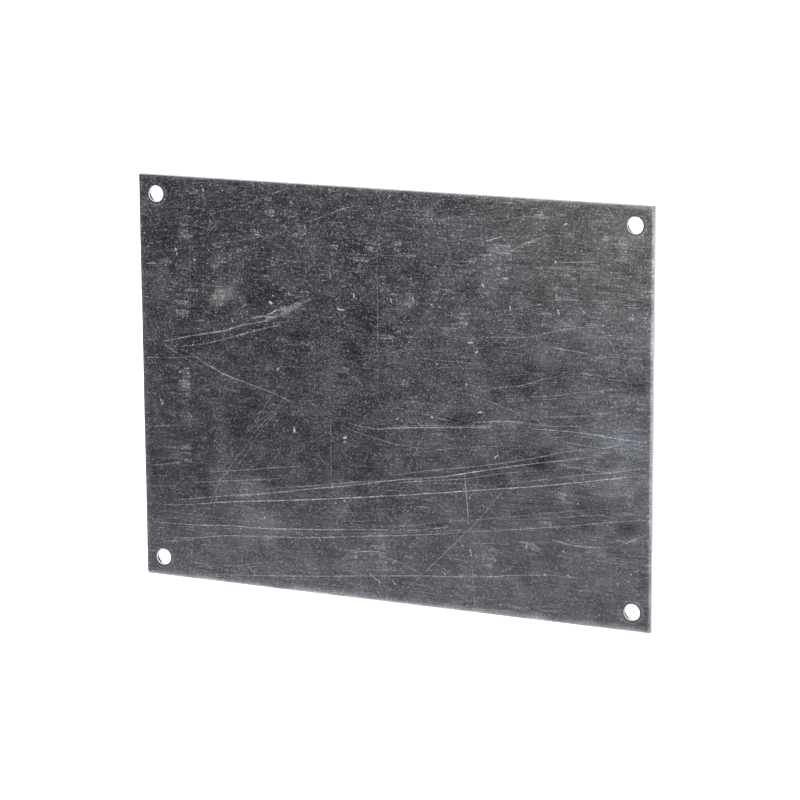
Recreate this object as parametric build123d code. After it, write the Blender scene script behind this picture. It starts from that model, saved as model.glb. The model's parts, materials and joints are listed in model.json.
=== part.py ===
from build123d import *

import os

# Rectangular cover plate, in millimetres.
# One flat piece of zinc-coated steel sheet, sheared to size on all four sides and punched
# with a round screw hole near each corner. It lies on its back face: X runs along the long
# sides, Y along the short ones, Z out of the front face, and the origin is the centre of
# the back face.

# Sheet
plate_length = 200.0
plate_width = 150.0
sheet_thickness = 2.0
corner_radius = 0.4

# Screw holes, each as far from the long side beside it as from the short one
hole_diameter = 6.0
hole_edge_distance = 7.0

# Section of a punched hole: the rim rolls in where the punch enters the front face, then
# comes the straight burnished land, and the break-out widens to the back face
rim_roll_width = 0.2
rim_roll_depth = 0.12
breakout_depth = 1.1
breakout_flare = 0.12

# Section of a sheared side: the corner rolls over where the blade enters, then comes the
# straight land, and the fracture leans back to the face where the blade leaves
edge_roll_width = 1.2
edge_roll_depth = 0.35
fracture_depth = 0.9
fracture_setback = 0.12

# Sizes that follow from those above
hole_radius = hole_diameter / 2
hole_spacing_x = plate_length - 2 * hole_edge_distance
hole_spacing_y = plate_width - 2 * hole_edge_distance
overrun = sheet_thickness
above_sheet = sheet_thickness + overrun
below_sheet = -overrun


def sheet_blank():
    """The flat sheet with square sides and its four corners eased."""
    outline = RectangleRounded(plate_length, plate_width, corner_radius)
    return extrude(outline, amount=sheet_thickness)


def punch():
    """The metal that one punch takes out, on the Z axis: break-out, land and rolled-in rim."""
    roll_end = hole_radius + rim_roll_width
    land_top = sheet_thickness - rim_roll_depth
    back_radius = hole_radius + breakout_flare
    rim = EllipticalCenterArc((roll_end, land_top), rim_roll_width, rim_roll_depth, 90, arc_size=90)
    wall = Polyline(
        (hole_radius, land_top),
        (hole_radius, breakout_depth),
        (back_radius, 0),
        (back_radius, below_sheet),
        (0, below_sheet),
        (0, above_sheet),
        (roll_end, above_sheet),
        (roll_end, sheet_thickness),
    )
    half_section = make_face(Plane.XZ * (rim + wall))
    return revolve(half_section, Axis.Z, 360)


def shear(side_length):
    """The metal lost along one side whose land is the YZ plane, for a blade from the front.

    The sheet is on the -X side. The first wedge leaves the rolled corner of the front face,
    the second the leaning fracture beside the back face.
    """
    roll_bottom = sheet_thickness - edge_roll_depth
    roll_centre = (-edge_roll_width, roll_bottom)
    corner = EllipticalCenterArc(roll_centre, edge_roll_width, edge_roll_depth, 0, arc_size=90)
    beyond_roll = Polyline(
        (-edge_roll_width, sheet_thickness),
        (-edge_roll_width, above_sheet),
        (overrun, above_sheet),
        (overrun, roll_bottom),
        (0, roll_bottom),
    )
    beyond_fracture = Polyline(
        (0, fracture_depth),
        (-fracture_setback, 0),
        (-fracture_setback, below_sheet),
        (overrun, below_sheet),
        (overrun, fracture_depth),
        close=True,
    )
    wedges = [make_face(Plane.XZ * (corner + beyond_roll)), make_face(Plane.XZ * beyond_fracture)]
    reach = side_length / 2 + overrun
    return [extrude(wedge, amount=reach, both=True) for wedge in wedges]


def turned_over(cutter):
    """The same cutter with the blade entering at the back face instead of the front."""
    return Location((0, 0, sheet_thickness), (180, 0, 0)) * cutter


# The four sides, each with its turn about Z, its distance from the centre, its length, and
# whether the blade came from the front. The right and lower sides were cut from the front,
# so their front corners are rolled, and the other two show a crisp front corner.
sides = (
    (0, plate_length / 2, plate_width, True),
    (90, plate_width / 2, plate_length, False),
    (180, plate_length / 2, plate_width, False),
    (270, plate_width / 2, plate_length, True),
)


def cover_plate():
    """The finished plate: the blank less its four sheared sides and its four punched holes."""
    plate = sheet_blank()
    for turn, distance, side_length, from_front in sides:
        for wedge in shear(side_length):
            wedge = wedge if from_front else turned_over(wedge)
            plate -= Rot(0, 0, turn) * Pos(distance, 0, 0) * wedge
    for hole in GridLocations(hole_spacing_x, hole_spacing_y, 2, 2):
        plate -= hole * punch()
    return plate


os.makedirs("parts", exist_ok=True)
export_step(cover_plate(), "parts/cover_plate.step")
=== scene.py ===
"""Looks of the rectangular cover plate: sheared, punched and well rubbed zinc-coated sheet.

The plate lies on its back on a pale floor. Its outline, thickness and holes come from the
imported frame. Lengths in this file are in metres unless a name ends in _mm, and the places
of scratches are millimetres from the middle of the front face, X along the long sides and
Y along the short ones.
"""

import json
import logging
import math
from collections.abc import Mapping, Sequence
from dataclasses import dataclass, field
from enum import Enum
from typing import Any

import bpy
import numpy as np
from mathutils import Matrix, Vector

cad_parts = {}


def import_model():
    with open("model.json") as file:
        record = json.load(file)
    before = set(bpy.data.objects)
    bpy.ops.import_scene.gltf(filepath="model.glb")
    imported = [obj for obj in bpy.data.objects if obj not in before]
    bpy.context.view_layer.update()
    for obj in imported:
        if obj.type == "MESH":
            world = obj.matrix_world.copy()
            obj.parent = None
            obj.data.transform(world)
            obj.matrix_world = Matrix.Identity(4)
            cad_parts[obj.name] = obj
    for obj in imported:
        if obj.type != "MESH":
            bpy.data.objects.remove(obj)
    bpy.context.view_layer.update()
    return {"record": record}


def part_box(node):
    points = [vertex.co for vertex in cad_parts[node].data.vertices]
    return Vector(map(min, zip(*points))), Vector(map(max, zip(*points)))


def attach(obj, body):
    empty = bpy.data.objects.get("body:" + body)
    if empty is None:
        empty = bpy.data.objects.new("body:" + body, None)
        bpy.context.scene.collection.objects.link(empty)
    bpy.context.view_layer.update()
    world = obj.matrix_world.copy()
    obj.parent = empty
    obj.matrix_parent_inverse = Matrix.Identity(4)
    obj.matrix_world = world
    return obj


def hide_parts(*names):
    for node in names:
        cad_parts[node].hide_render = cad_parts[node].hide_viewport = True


LOG = logging.getLogger("cover_plate")
MM = 0.001
NODE = "cover_plate"
BODY = "root"
MICRON = 0.001 * MM
# Length that counts as nothing, in metres
TINY = 1e-9
# Grain size along Z of a pattern that is the same at every depth of the thin sheet
THROUGH_MM = 10.0
# Power that turns a tone, as the eye sees it, into the share of light sent back
TONE_POWER = 2.2
# Numbers of the two finishes on the sheet
SKIN_SLOT = 0
CUT_SLOT = 1

Point = tuple[float, float]
Colour = tuple[float, float, float]
Grain = tuple[float, float, float]
# A smooth step: the values where it begins and ends, and its results there
Ramp = tuple[float, float, float, float]
Socket = bpy.types.NodeSocket


class Blade(Enum):
    """Face that the blade or punch entered first."""

    FRONT = "front"
    BACK = "back"


class Side(Enum):
    """The four sides of the plate: outward direction and the face that its blade entered."""

    LEFT = (-1, 0, Blade.BACK)
    RIGHT = (1, 0, Blade.FRONT)
    LOWER = (0, -1, Blade.FRONT)
    UPPER = (0, 1, Blade.BACK)

    @property
    def outward(self) -> np.ndarray:
        """Direction out of the plate, as x and y."""
        return np.array(self.value[:2], float)

    @property
    def blade(self) -> Blade:
        """Face that this side's blade entered."""
        return self.value[2]


# Meshes


def mesh_piece(
    name: str, points: np.ndarray, faces: Sequence[np.ndarray], smooth: bool | np.ndarray = True
) -> bpy.types.Object:
    """Makes an object from whole arrays of points and faces.

    Args:
        name: The piece's name.
        points: Corner places in metres, one row of three for each.
        faces: Arrays of triangles or quads, one row of corner numbers for each face.
        smooth: Whether the faces are shaded smooth, for all of them or for each.

    Returns:
        The new object, at the origin and linked to the scene.
    """
    mesh = bpy.data.meshes.new(name)
    sizes = np.concatenate([np.full(len(f), f.shape[1]) for f in faces])
    corners = np.concatenate([f.ravel() for f in faces])
    mesh.vertices.add(len(points))
    mesh.vertices.foreach_set("co", points.astype(np.float32).ravel())
    mesh.loops.add(len(corners))
    mesh.loops.foreach_set("vertex_index", corners.astype(np.int32))
    mesh.polygons.add(len(sizes))
    starts = np.concatenate([[0], np.cumsum(sizes)[:-1]])
    mesh.polygons.foreach_set("loop_start", starts.astype(np.int32))
    mesh.polygons.foreach_set("use_smooth", np.broadcast_to(smooth, len(sizes)).copy())
    mesh.update(calc_edges=True)
    mesh.validate()
    piece = bpy.data.objects.new(name, mesh)
    bpy.context.scene.collection.objects.link(piece)
    return piece


def grid_faces(rows: int, columns: int, closed: bool = False) -> np.ndarray:
    """Quads between neighbouring points of a grid, counted row by row.

    Args:
        rows: Number of rows of points.
        columns: Number of points in a row.
        closed: Whether each row joins its last point to its first.

    Returns:
        Corner numbers, four for each quad.
    """
    row = np.arange(rows - 1)[:, None] * columns
    column = np.arange(columns if closed else columns - 1)[None, :]
    right = (column + 1) % columns
    quads = np.stack([row + column, row + right, row + columns + right, row + columns + column], axis=-1)
    return quads.reshape(-1, 4)


def round_trip(x: np.ndarray, y: np.ndarray) -> tuple[np.ndarray, np.ndarray]:
    """Crossings of lattice lines round a rectangle, from its lower left corner, to the right first.

    Args:
        x: Places of the upright lines.
        y: Places of the level lines.

    Returns:
        The places x and y of each crossing.
    """
    round_x = np.concatenate([x[:-1], np.full(len(y) - 1, x[-1]), x[:0:-1], np.full(len(y) - 1, x[0])])
    round_y = np.concatenate([np.full(len(x) - 1, y[0]), y[:-1], np.full(len(x) - 1, y[-1]), y[:0:-1]])
    return round_x, round_y


def point_values(piece: bpy.types.Object, name: str, values: np.ndarray) -> None:
    """Stores one number for each point of a piece, for its finish to read.

    Args:
        piece: The piece that gets the numbers.
        name: The attribute's name.
        values: One number for each point.
    """
    layer = piece.data.attributes.new(name, "FLOAT", "POINT")
    layer.data.foreach_set("value", values.astype(np.float32))


def ripple(where: np.ndarray, lengths: Sequence[float], shifts: Sequence[float]) -> np.ndarray:
    """Uneven wave between -1 and 1: the mean of sines with the given wavelengths and shifts."""
    waves = [np.sin(2 * np.pi * where / size + shift) for size, shift in zip(lengths, shifts)]
    return np.mean(waves, axis=0)


@dataclass(frozen=True)
class Patches:
    """Uneven strength along a line: its level, its swing, and its waves' lengths and shifts."""

    level: float
    swing: float
    lengths: tuple[float, ...]
    shifts: tuple[float, ...]

    def along(self, where: np.ndarray) -> np.ndarray:
        """Strength at each place: level + swing * ripple."""
        return self.level + self.swing * ripple(where, self.lengths, self.shifts)


@dataclass(frozen=True)
class Facing:
    """Strength round a hole, by direction: its level, its swing, and where it is strongest."""

    level: float
    swing: float
    towards: Point

    def share(self, heading: np.ndarray) -> np.ndarray:
        """Strength in each direction: level + swing * cosine of the angle from the strongest one."""
        return self.level + self.swing * (heading @ np.array(self.towards))


# Finishes


class Graph:
    """A material's nodes, put together call by call."""

    def __init__(self, name: str) -> None:
        """Starts an empty material with its output node."""
        self.material = bpy.data.materials.new(name)
        self.material.use_nodes = True
        self.nodes = self.material.node_tree.nodes
        self.links = self.material.node_tree.links
        self.nodes.clear()

    def add(self, kind: str, inputs: Mapping[Any, Any] | None = None, **settings: Any) -> bpy.types.Node:
        """Adds a node, sets its settings, and sets or links its inputs.

        Args:
            kind: Blender's name of the node.
            inputs: Values or sockets by the input's name or number.
            **settings: The node's own properties.

        Returns:
            The new node.
        """
        node = self.nodes.new(kind)
        for key, value in settings.items():
            setattr(node, key, value)
        for key, value in (inputs or {}).items():
            if isinstance(value, bpy.types.NodeSocket):
                self.links.new(value, node.inputs[key])
            else:
                node.inputs[key].default_value = value
        return node

    def place_mm(self) -> Socket:
        """Place on the piece in millimetres, from its Object coordinates."""
        where = self.add("ShaderNodeTexCoord").outputs["Object"]
        return self.add("ShaderNodeVectorMath", {0: where, "Scale": 1 / MM}, operation="SCALE").outputs[0]

    def stretched(self, where: Socket, sizes_mm: Sequence[float], turn: float = 0.0) -> Socket:
        """Place divided by a grain size along each axis, after a turn about Z in degrees."""
        inputs = {"Vector": where, "Rotation": (0, 0, math.radians(turn)), "Scale": [1 / s for s in sizes_mm]}
        return self.add("ShaderNodeMapping", inputs).outputs[0]

    def noise(self, where: Socket, detail: float = 1.0, roughness: float = 0.5) -> Socket:
        """Soft noise between 0 and 1 with a grain one unit across."""
        inputs = {"Vector": where, "Scale": 1.0, "Detail": detail, "Roughness": roughness}
        return self.add("ShaderNodeTexNoise", inputs).outputs[0]

    def crystals(self, where: Socket) -> Socket:
        """Random number between 0 and 1, the same all over each of many small ragged cells."""
        waver = self.add("ShaderNodeTexNoise", {"Vector": where, "Scale": 1.7, "Detail": 2.0})
        shift = {0: waver.outputs["Color"], 1: (0.9, 0.9, 0.0), 2: where}
        ragged = self.add("ShaderNodeVectorMath", shift, operation="MULTIPLY_ADD")
        inputs = {"Vector": ragged.outputs[0], "Scale": 1.0}
        cells = self.add("ShaderNodeTexVoronoi", inputs, voronoi_dimensions="2D")
        return self.add("ShaderNodeSeparateColor", {0: cells.outputs["Color"]}).outputs[0]

    def glints(self, cells: Socket) -> Socket:
        """Turns even random numbers into many faint and few bright ones: -ln(1 - number)."""
        rest = self.math("SUBTRACT", 1.0, self.times(cells, 0.999))
        return self.times(self.math("LOGARITHM", rest, math.e), -1.0)

    def math(self, operation: str, a: Any, b: Any = 0.0) -> Socket:
        """One sum of two numbers or sockets."""
        return self.add("ShaderNodeMath", {0: a, 1: b}, operation=operation).outputs[0]

    def total(self, *terms: Any) -> Socket:
        """Sum of several numbers or sockets."""
        result = terms[0]
        for term in terms[1:]:
            result = self.math("ADD", result, term)
        return result

    def times(self, *terms: Any) -> Socket:
        """Product of several numbers or sockets."""
        result = terms[0]
        for term in terms[1:]:
            result = self.math("MULTIPLY", result, term)
        return result

    def step(self, value: Socket, low: float, high: float, start: float = 0.0, end: float = 1.0) -> Socket:
        """Smooth step from start to end as the value goes from low to high."""
        inputs = {0: value, 1: low, 2: high, 3: start, 4: end}
        node = self.add("ShaderNodeMapRange", inputs, interpolation_type="SMOOTHSTEP")
        return node.outputs[0]

    def spot(
        self, where: Socket, centre: Point, half_size: Point, turn: float = 0.0, core: float = 0.0
    ) -> Socket:
        """Soft spot: 1 over its core, falling to 0 at an ellipse of the given half sizes.

        Args:
            where: Place, in the unit of the centre and the half sizes.
            centre: The spot's middle.
            half_size: Half its length and half its width.
            turn: Turn of the ellipse in degrees.
            core: Share of the half sizes within which the spot is full.

        Returns:
            A number between 0 and 1.
        """
        inputs = {
            "Vector": where,
            "Location": (*centre, 0.0),
            "Rotation": (0, 0, math.radians(turn)),
            "Scale": (*half_size, THROUGH_MM),
        }
        local = self.add("ShaderNodeMapping", inputs, vector_type="TEXTURE").outputs[0]
        reach = self.add("ShaderNodeVectorMath", {0: local}, operation="LENGTH").outputs["Value"]
        return self.step(reach, core, 1.0, 1.0, 0.0)

    def tinted(self, amount: Socket, colour: Any) -> Socket:
        """A colour, as numbers or a socket, scaled by a number."""
        node = self.add("ShaderNodeVectorMath", {0: colour, "Scale": amount}, operation="SCALE")
        return node.outputs[0]

    def mixed(self, amount: Any, first: Any, second: Any) -> Socket:
        """Colour between the first and the second."""
        inputs = {"Factor": amount, 6: first, 7: second}
        return self.add("ShaderNodeMix", inputs, data_type="RGBA").outputs[2]

    def attribute(self, name: str) -> Socket:
        """Number stored at each point of the piece, or 0 where it has none."""
        return self.add("ShaderNodeAttribute", attribute_name=name).outputs["Fac"]

    def metal(self, colour: Socket, roughness: Socket, height: Socket, depth_mm: float) -> None:
        """Closes the graph with a metal of the given colour, roughness and fine relief.

        Args:
            colour: Colour of the metal's reflection.
            roughness: Roughness between 0 and 1.
            height: Height of the relief between 0 and 1.
            depth_mm: What a height of 1 stands for.
        """
        relief = self.add("ShaderNodeBump", {"Strength": 1.0, "Distance": depth_mm * MM, "Height": height})
        inputs = {"Base Color": colour, "Metallic": 1.0, "Roughness": roughness, "Normal": relief.outputs[0]}
        shader = self.add("ShaderNodeBsdfPrincipled", inputs)
        self.add("ShaderNodeOutputMaterial", {"Surface": shader.outputs[0]})


@dataclass(frozen=True)
class Layer:
    """One layer of noise in the zinc's tone.

    It has a grain along X and Y, a weight, and a turn in degrees.
    """

    grain_mm: Point
    weight: float
    turn: float = 0.0


@dataclass(frozen=True)
class TonePatch:
    """A soft patch of another tint and tone on the zinc, turned by an angle in degrees."""

    centre_mm: Point
    half_size_mm: Point
    lift: float
    tint: Colour | None = None
    turn: float = 0.0
    core: float = 0.0


@dataclass(frozen=True)
class RubbedZinc:
    """Dull dark zinc skin with rolling streaks, light crystal grain and bared scratches.

    Tones are counted as the eye sees them, from 0 for black to 1 for white. Ramps whose
    names end in _mm run along the plate, the others over the values of a noise.
    """

    tone: float = 0.316
    darkest: float = 0.12
    brightest: float = 0.95
    tint: Colour = (0.975, 0.98, 1.045)
    gain: float = 1.55
    layers: tuple[Layer, ...] = (
        Layer((25.0, 0.45), 0.09, 2.0),
        Layer((8.0, 1.4), 0.09, 1.0),
        Layer((7.0, 6.0), 0.125),
        Layer((14.0, 12.0), 0.085),
        Layer((30.0, 20.0), 0.06),
        Layer((0.6, 0.5), 0.12),
    )
    streak: Layer = Layer((6.0, 0.42), 0.06, 2.0)
    streak_ramp: Ramp = (0.5, 0.76, -0.15, 1.0)
    patch_mm: Point = (9.0, 4.0)
    patch_ramp: Ramp = (0.38, 0.64, 0.3, 2.0)
    crystal_mm: float = 0.35
    crystal_weight: float = 0.062
    spark_mm: float = 0.34
    # Sparkling crystals, painted glints: their size, turn, start and weight
    spark_turn: float = 30.0
    spark_start: float = 2.5
    spark_weight: float = 0.045
    # Strength of the streaks by height, of the crystals to the right, of the layers by height
    lively_ramp_mm: Ramp = (-62.0, 62.0, 0.84, 1.3)
    dulled_ramp_mm: Ramp = (-15.0, 75.0, 1.03, 0.72)
    calm_ramp_mm: Ramp = (-66.0, -20.0, 0.75, 1.0)
    # Painted light: slow rise of the tone to the right and to the foot, which ends before the right side
    right_ramp_mm: Ramp = (-20.0, 105.0, 0.0, 1.0)
    right_lift: float = 0.045
    foot_ramp_mm: Ramp = (-22.0, -76.0, 0.0, 1.0)
    foot_lift: float = 0.095
    foot_fade: float = 1.35
    bared: float = 0.62
    bared_ramp: Ramp = (0.0, 1.0, 0.8, 1.2)
    # Weight of the attribute of rubbing and painted light beside the rims
    rubbed_and_painted_light: float = 0.5
    roughness: float = 0.42
    patch_roughness: float = -0.1
    bare_roughness: float = 0.1
    relief_mm: float = 0.008
    crystal_relief: float = 0.5
    streak_relief: float = 2.0
    tone_patches: tuple[TonePatch, ...] = (
        # The first two are painted light: a lighter, warmer cast over the upper right and a bluer one along
        # the foot
        TonePatch((85.0, 72.0), (110.0, 80.0), 0.025, (1.0, 0.985, 0.985)),
        TonePatch((30.0, -82.0), (110.0, 45.0), 0.0, (0.99, 0.975, 1.042)),
        TonePatch((89.0, -7.0), (17.0, 12.0), 0.02, (0.93, 0.99, 1.09)),
        TonePatch((-66.6, 32.2), (8.6, 4.2), 0.145, (1.02, 0.99, 0.97), 34.0, 0.35),
        TonePatch((-67.5, 35.6), (3.4, 4.0), 0.07, (1.02, 0.99, 0.98), 0.0, 0.2),
        TonePatch((-40.5, 28.8), (10.0, 2.2), 0.09, None, 24.0),
        # Lighter places
        TonePatch((-30.0, 55.0), (12.0, 8.0), 0.04),
        TonePatch((18.0, 60.0), (12.0, 13.0), 0.06),
        TonePatch((40.0, 49.0), (9.0, 15.0), 0.09),
        TonePatch((7.5, 36.0), (6.0, 6.0), 0.06),
        TonePatch((30.0, 27.5), (7.0, 12.0), 0.07),
        TonePatch((34.0, 7.0), (6.0, 12.0), 0.06),
        TonePatch((85.0, -6.0), (18.0, 8.0), 0.055),
        TonePatch((75.5, 30.5), (6.5, 8.0), 0.045),
        TonePatch((-43.0, -24.0), (11.0, 9.0), 0.035),
        TonePatch((46.0, 31.0), (7.0, 7.0), 0.035),
        TonePatch((88.0, -21.0), (8.0, 12.0), 0.08),
        TonePatch((-67.0, -28.0), (7.0, 14.0), 0.1),
        TonePatch((-60.0, -38.0), (20.0, 7.0), 0.09),
        TonePatch((-20.0, -38.0), (7.0, 18.0), 0.06),
        TonePatch((26.0, -42.5), (15.0, 5.0), 0.05),
        TonePatch((-3.7, -52.5), (5.0, 6.0), 0.06),
        TonePatch((-46.0, -51.0), (14.0, 9.0), 0.04),
        TonePatch((-56.0, -49.0), (19.0, 17.0), 0.08),
        TonePatch((-85.0, -27.0), (8.0, 12.0), 0.05),
        TonePatch((86.0, -58.0), (14.0, 10.0), 0.04),
        TonePatch((80.0, 42.0), (16.0, 16.0), 0.04),
        TonePatch((88.0, 62.0), (10.0, 10.0), 0.05),
        TonePatch((-91.0, 34.0), (10.0, 14.0), 0.08),
        TonePatch((-91.0, 66.0), (11.0, 8.0), 0.04),
        TonePatch((84.0, 69.0), (9.0, 6.0), 0.05),
        TonePatch((-22.5, 0.0), (8.0, 14.0), 0.05),
        TonePatch((36.0, -56.0), (9.0, 7.0), 0.04),
        # Darker places
        TonePatch((-60.0, -13.0), (15.0, 11.0), -0.08),
        TonePatch((-33.0, 20.0), (10.0, 8.0), -0.09),
        TonePatch((-35.0, 4.0), (5.0, 12.0), -0.05),
        TonePatch((-11.0, 30.0), (15.0, 14.0), -0.06),
        TonePatch((-12.0, 15.0), (11.0, 11.0), -0.07),
        TonePatch((-51.0, 35.0), (12.0, 11.0), -0.06),
        TonePatch((48.0, 11.0), (17.0, 12.0), -0.075),
        TonePatch((92.5, 13.0), (9.0, 8.0), -0.10),
        TonePatch((66.0, 11.0), (9.0, 9.0), -0.035),
        TonePatch((27.0, -6.5), (13.0, 8.0), -0.08),
        TonePatch((40.0, -24.0), (11.0, 10.0), -0.11),
        TonePatch((57.0, -18.0), (15.0, 8.0), -0.13),
        TonePatch((76.0, -34.0), (9.0, 12.0), -0.08),
        TonePatch((92.0, -38.0), (10.0, 6.0), -0.07),
        TonePatch((-75.0, -38.0), (5.0, 14.0), -0.06),
        TonePatch((-27.5, -58.0), (6.0, 12.0), -0.05),
        TonePatch((0.0, -67.0), (18.0, 8.0), -0.06),
        TonePatch((17.0, -57.0), (10.0, 12.0), -0.045),
        TonePatch((62.5, -53.0), (6.0, 8.0), -0.04),
        TonePatch((-49.0, 14.0), (9.0, 9.0), -0.05),
        TonePatch((0.0, -38.0), (12.0, 6.0), -0.06),
        TonePatch((-88.0, 50.0), (11.0, 11.0), -0.045),
        TonePatch((97.0, -71.0), (10.0, 9.0), -0.055),
        TonePatch((-96.0, -72.0), (10.0, 8.0), -0.045),
        TonePatch((73.0, 67.0), (6.0, 7.0), -0.05),
    )

    def layer(self, g: Graph, where: Socket, layer: Layer) -> Socket:
        """A layer's noise about 0, times its weight."""
        grain = (*layer.grain_mm, THROUGH_MM)
        return g.times(g.math("SUBTRACT", g.noise(g.stretched(where, grain, layer.turn)), 0.5), layer.weight)

    def painted_light_rise(self, g: Graph, where: Socket) -> Socket:
        """Painted light: slow rise of the tone to the right side and to the foot of the plate."""
        place = g.add("ShaderNodeSeparateXYZ", {0: where})
        right = g.step(place.outputs[0], *self.right_ramp_mm)
        foot = g.step(place.outputs[1], *self.foot_ramp_mm)
        foot = g.times(foot, g.math("SUBTRACT", 1.0, g.times(right, self.foot_fade)))
        return g.total(g.times(right, self.right_lift), g.times(foot, self.foot_lift))

    def lively(self, g: Graph, where: Socket) -> tuple[Socket, Socket, Socket]:
        """Strengths of the streaks, of the crystals and of the layers at each place.

        The first two grow from foot to top, the crystals fade to the right side, and the
        layers are calm at the foot.
        """
        place = g.add("ShaderNodeSeparateXYZ", {0: where})
        streaks = g.step(place.outputs[1], *self.lively_ramp_mm)
        crystals = g.times(streaks, g.step(place.outputs[0], *self.dulled_ramp_mm))
        return streaks, crystals, g.step(place.outputs[1], *self.calm_ramp_mm)

    def material(self) -> bpy.types.Material:
        """Builds the finish.

        The tone is a dark ground plus layers of noise: streaks drawn out along X that show
        in patches, blotches, random crystals and a few sparkling ones, which are painted
        glints. A slow rise to the right and to the foot is painted light, and soft patches
        change tint and tone, two of them as painted light. The attribute bare lifts the tone
        in scratches; the attribute of rubbing and painted light lifts it beside the rims as
        rubbed zinc with painted highlight, and lowers it close to the holes with painted
        shade. The metal's reflectance is the gain times the tone to the power 2.2.
        """
        g = Graph("rubbed zinc")
        where = g.place_mm()
        patch = g.noise(g.stretched(where, (*self.patch_mm, THROUGH_MM)), detail=2.0)
        streak = g.noise(g.stretched(where, (*self.streak.grain_mm, THROUGH_MM), self.streak.turn))
        streak = g.times(g.step(streak, *self.streak_ramp), self.streak.weight)
        streak = g.times(streak, g.step(patch, *self.patch_ramp))
        crystal = g.crystals(g.stretched(where, (self.crystal_mm, self.crystal_mm, 1.0)))
        spark = g.glints(g.crystals(g.stretched(where, (self.spark_mm, self.spark_mm, 1.0), self.spark_turn)))
        spark = g.math("MAXIMUM", g.math("SUBTRACT", spark, self.spark_start), 0.0)
        grain = g.times(g.math("SUBTRACT", g.glints(crystal), 1.0), self.crystal_weight)
        grain = g.total(grain, g.times(spark, self.spark_weight))
        bare = g.attribute("bare")
        rubbed_and_painted_light = g.attribute("rubbed_and_painted_light")
        streaks, crystals, layers = self.lively(g, where)
        tone = g.total(self.tone, self.painted_light_rise(g, where), g.times(streak, streaks), g.times(grain, crystals))
        tone = g.total(tone, *(g.times(self.layer(g, where, layer), layers) for layer in self.layers))
        tone = g.total(tone, g.times(bare, self.bared, g.step(crystal, *self.bared_ramp)))
        # Rubbed zinc with painted highlight beside the rims, and painted shade close to the holes
        tone = g.total(tone, g.times(rubbed_and_painted_light, self.rubbed_and_painted_light))
        tint: Any = (*self.tint, 1.0)
        for tone_patch in self.tone_patches:
            place = g.spot(where, tone_patch.centre_mm, tone_patch.half_size_mm, tone_patch.turn, tone_patch.core)
            tone = g.total(tone, g.times(place, tone_patch.lift))
            if tone_patch.tint:
                tint = g.mixed(place, tint, (*tone_patch.tint, 1.0))
        most = (self.brightest / self.gain) ** (1 / TONE_POWER)
        tone = g.math("MINIMUM", g.math("MAXIMUM", tone, self.darkest), most)
        light = g.times(g.math("POWER", tone, TONE_POWER), self.gain)
        rough = g.times(g.math("SUBTRACT", patch, 0.5), self.patch_roughness)
        rough = g.total(self.roughness, rough, g.times(bare, self.bare_roughness))
        height = g.total(g.times(crystal, self.crystal_relief), g.times(streak, self.streak_relief))
        g.metal(g.tinted(light, tint), rough, height, self.relief_mm)
        return g.material


@dataclass(frozen=True)
class CutSteel:
    """Bare steel of a sheared or punched wall.

    The land is bright and rubbed smooth, with a painted highlight at the holes' lower left;
    the torn part is dark, and darker still with painted shade.
    """

    land: float = 0.42
    # Lift of the land by the painted highlight at the holes' lower left
    wall_highlight_gain: float = 0.42
    # Tone of the torn part: dull steel, made very dark partly with painted shade
    torn_and_shaded: float = 0.015
    darkest: float = 0.006
    tint: Colour = (0.985, 0.98, 1.03)
    drag_mm: Grain = (0.16, 0.16, 3.0)
    drag_weight: float = 0.25
    drag_relief: float = 0.25
    tear_mm: Grain = (0.3, 0.3, 0.25)
    tear_weight: float = 0.03
    land_roughness: float = 0.28
    fracture_roughness: float = 0.6
    relief_mm: float = 0.03

    def material(self) -> bpy.types.Material:
        """Builds the finish.

        Drag lines run through the thickness: noise drawn out along Z. The attribute of the
        torn share mixes from the land to the torn part, whose very dark tone is partly painted
        shade, and the attribute of the wall's painted highlight lifts the land.
        """
        g = Graph("cut steel")
        where = g.place_mm()
        drag = g.noise(g.stretched(where, self.drag_mm), detail=2.0, roughness=0.6)
        tear = g.noise(g.stretched(where, self.tear_mm), detail=4.0, roughness=0.65)
        torn = g.attribute("torn_and_shaded")
        land = g.total(self.land, g.times(g.math("SUBTRACT", drag, 0.5), self.drag_weight))
        land = g.total(land, g.times(g.attribute("wall_highlight"), self.wall_highlight_gain))
        broken = g.total(self.torn_and_shaded, g.times(g.math("SUBTRACT", tear, 0.5), self.tear_weight))
        light = g.total(g.times(land, g.math("SUBTRACT", 1.0, torn)), g.times(broken, torn))
        light = g.math("MAXIMUM", light, self.darkest)
        rough = g.total(self.land_roughness, g.times(torn, self.fracture_roughness - self.land_roughness))
        height = g.total(g.times(drag, self.drag_relief), g.times(tear, torn))
        g.metal(g.tinted(light, self.tint), rough, height, self.relief_mm)
        return g.material


# The plate


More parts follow.
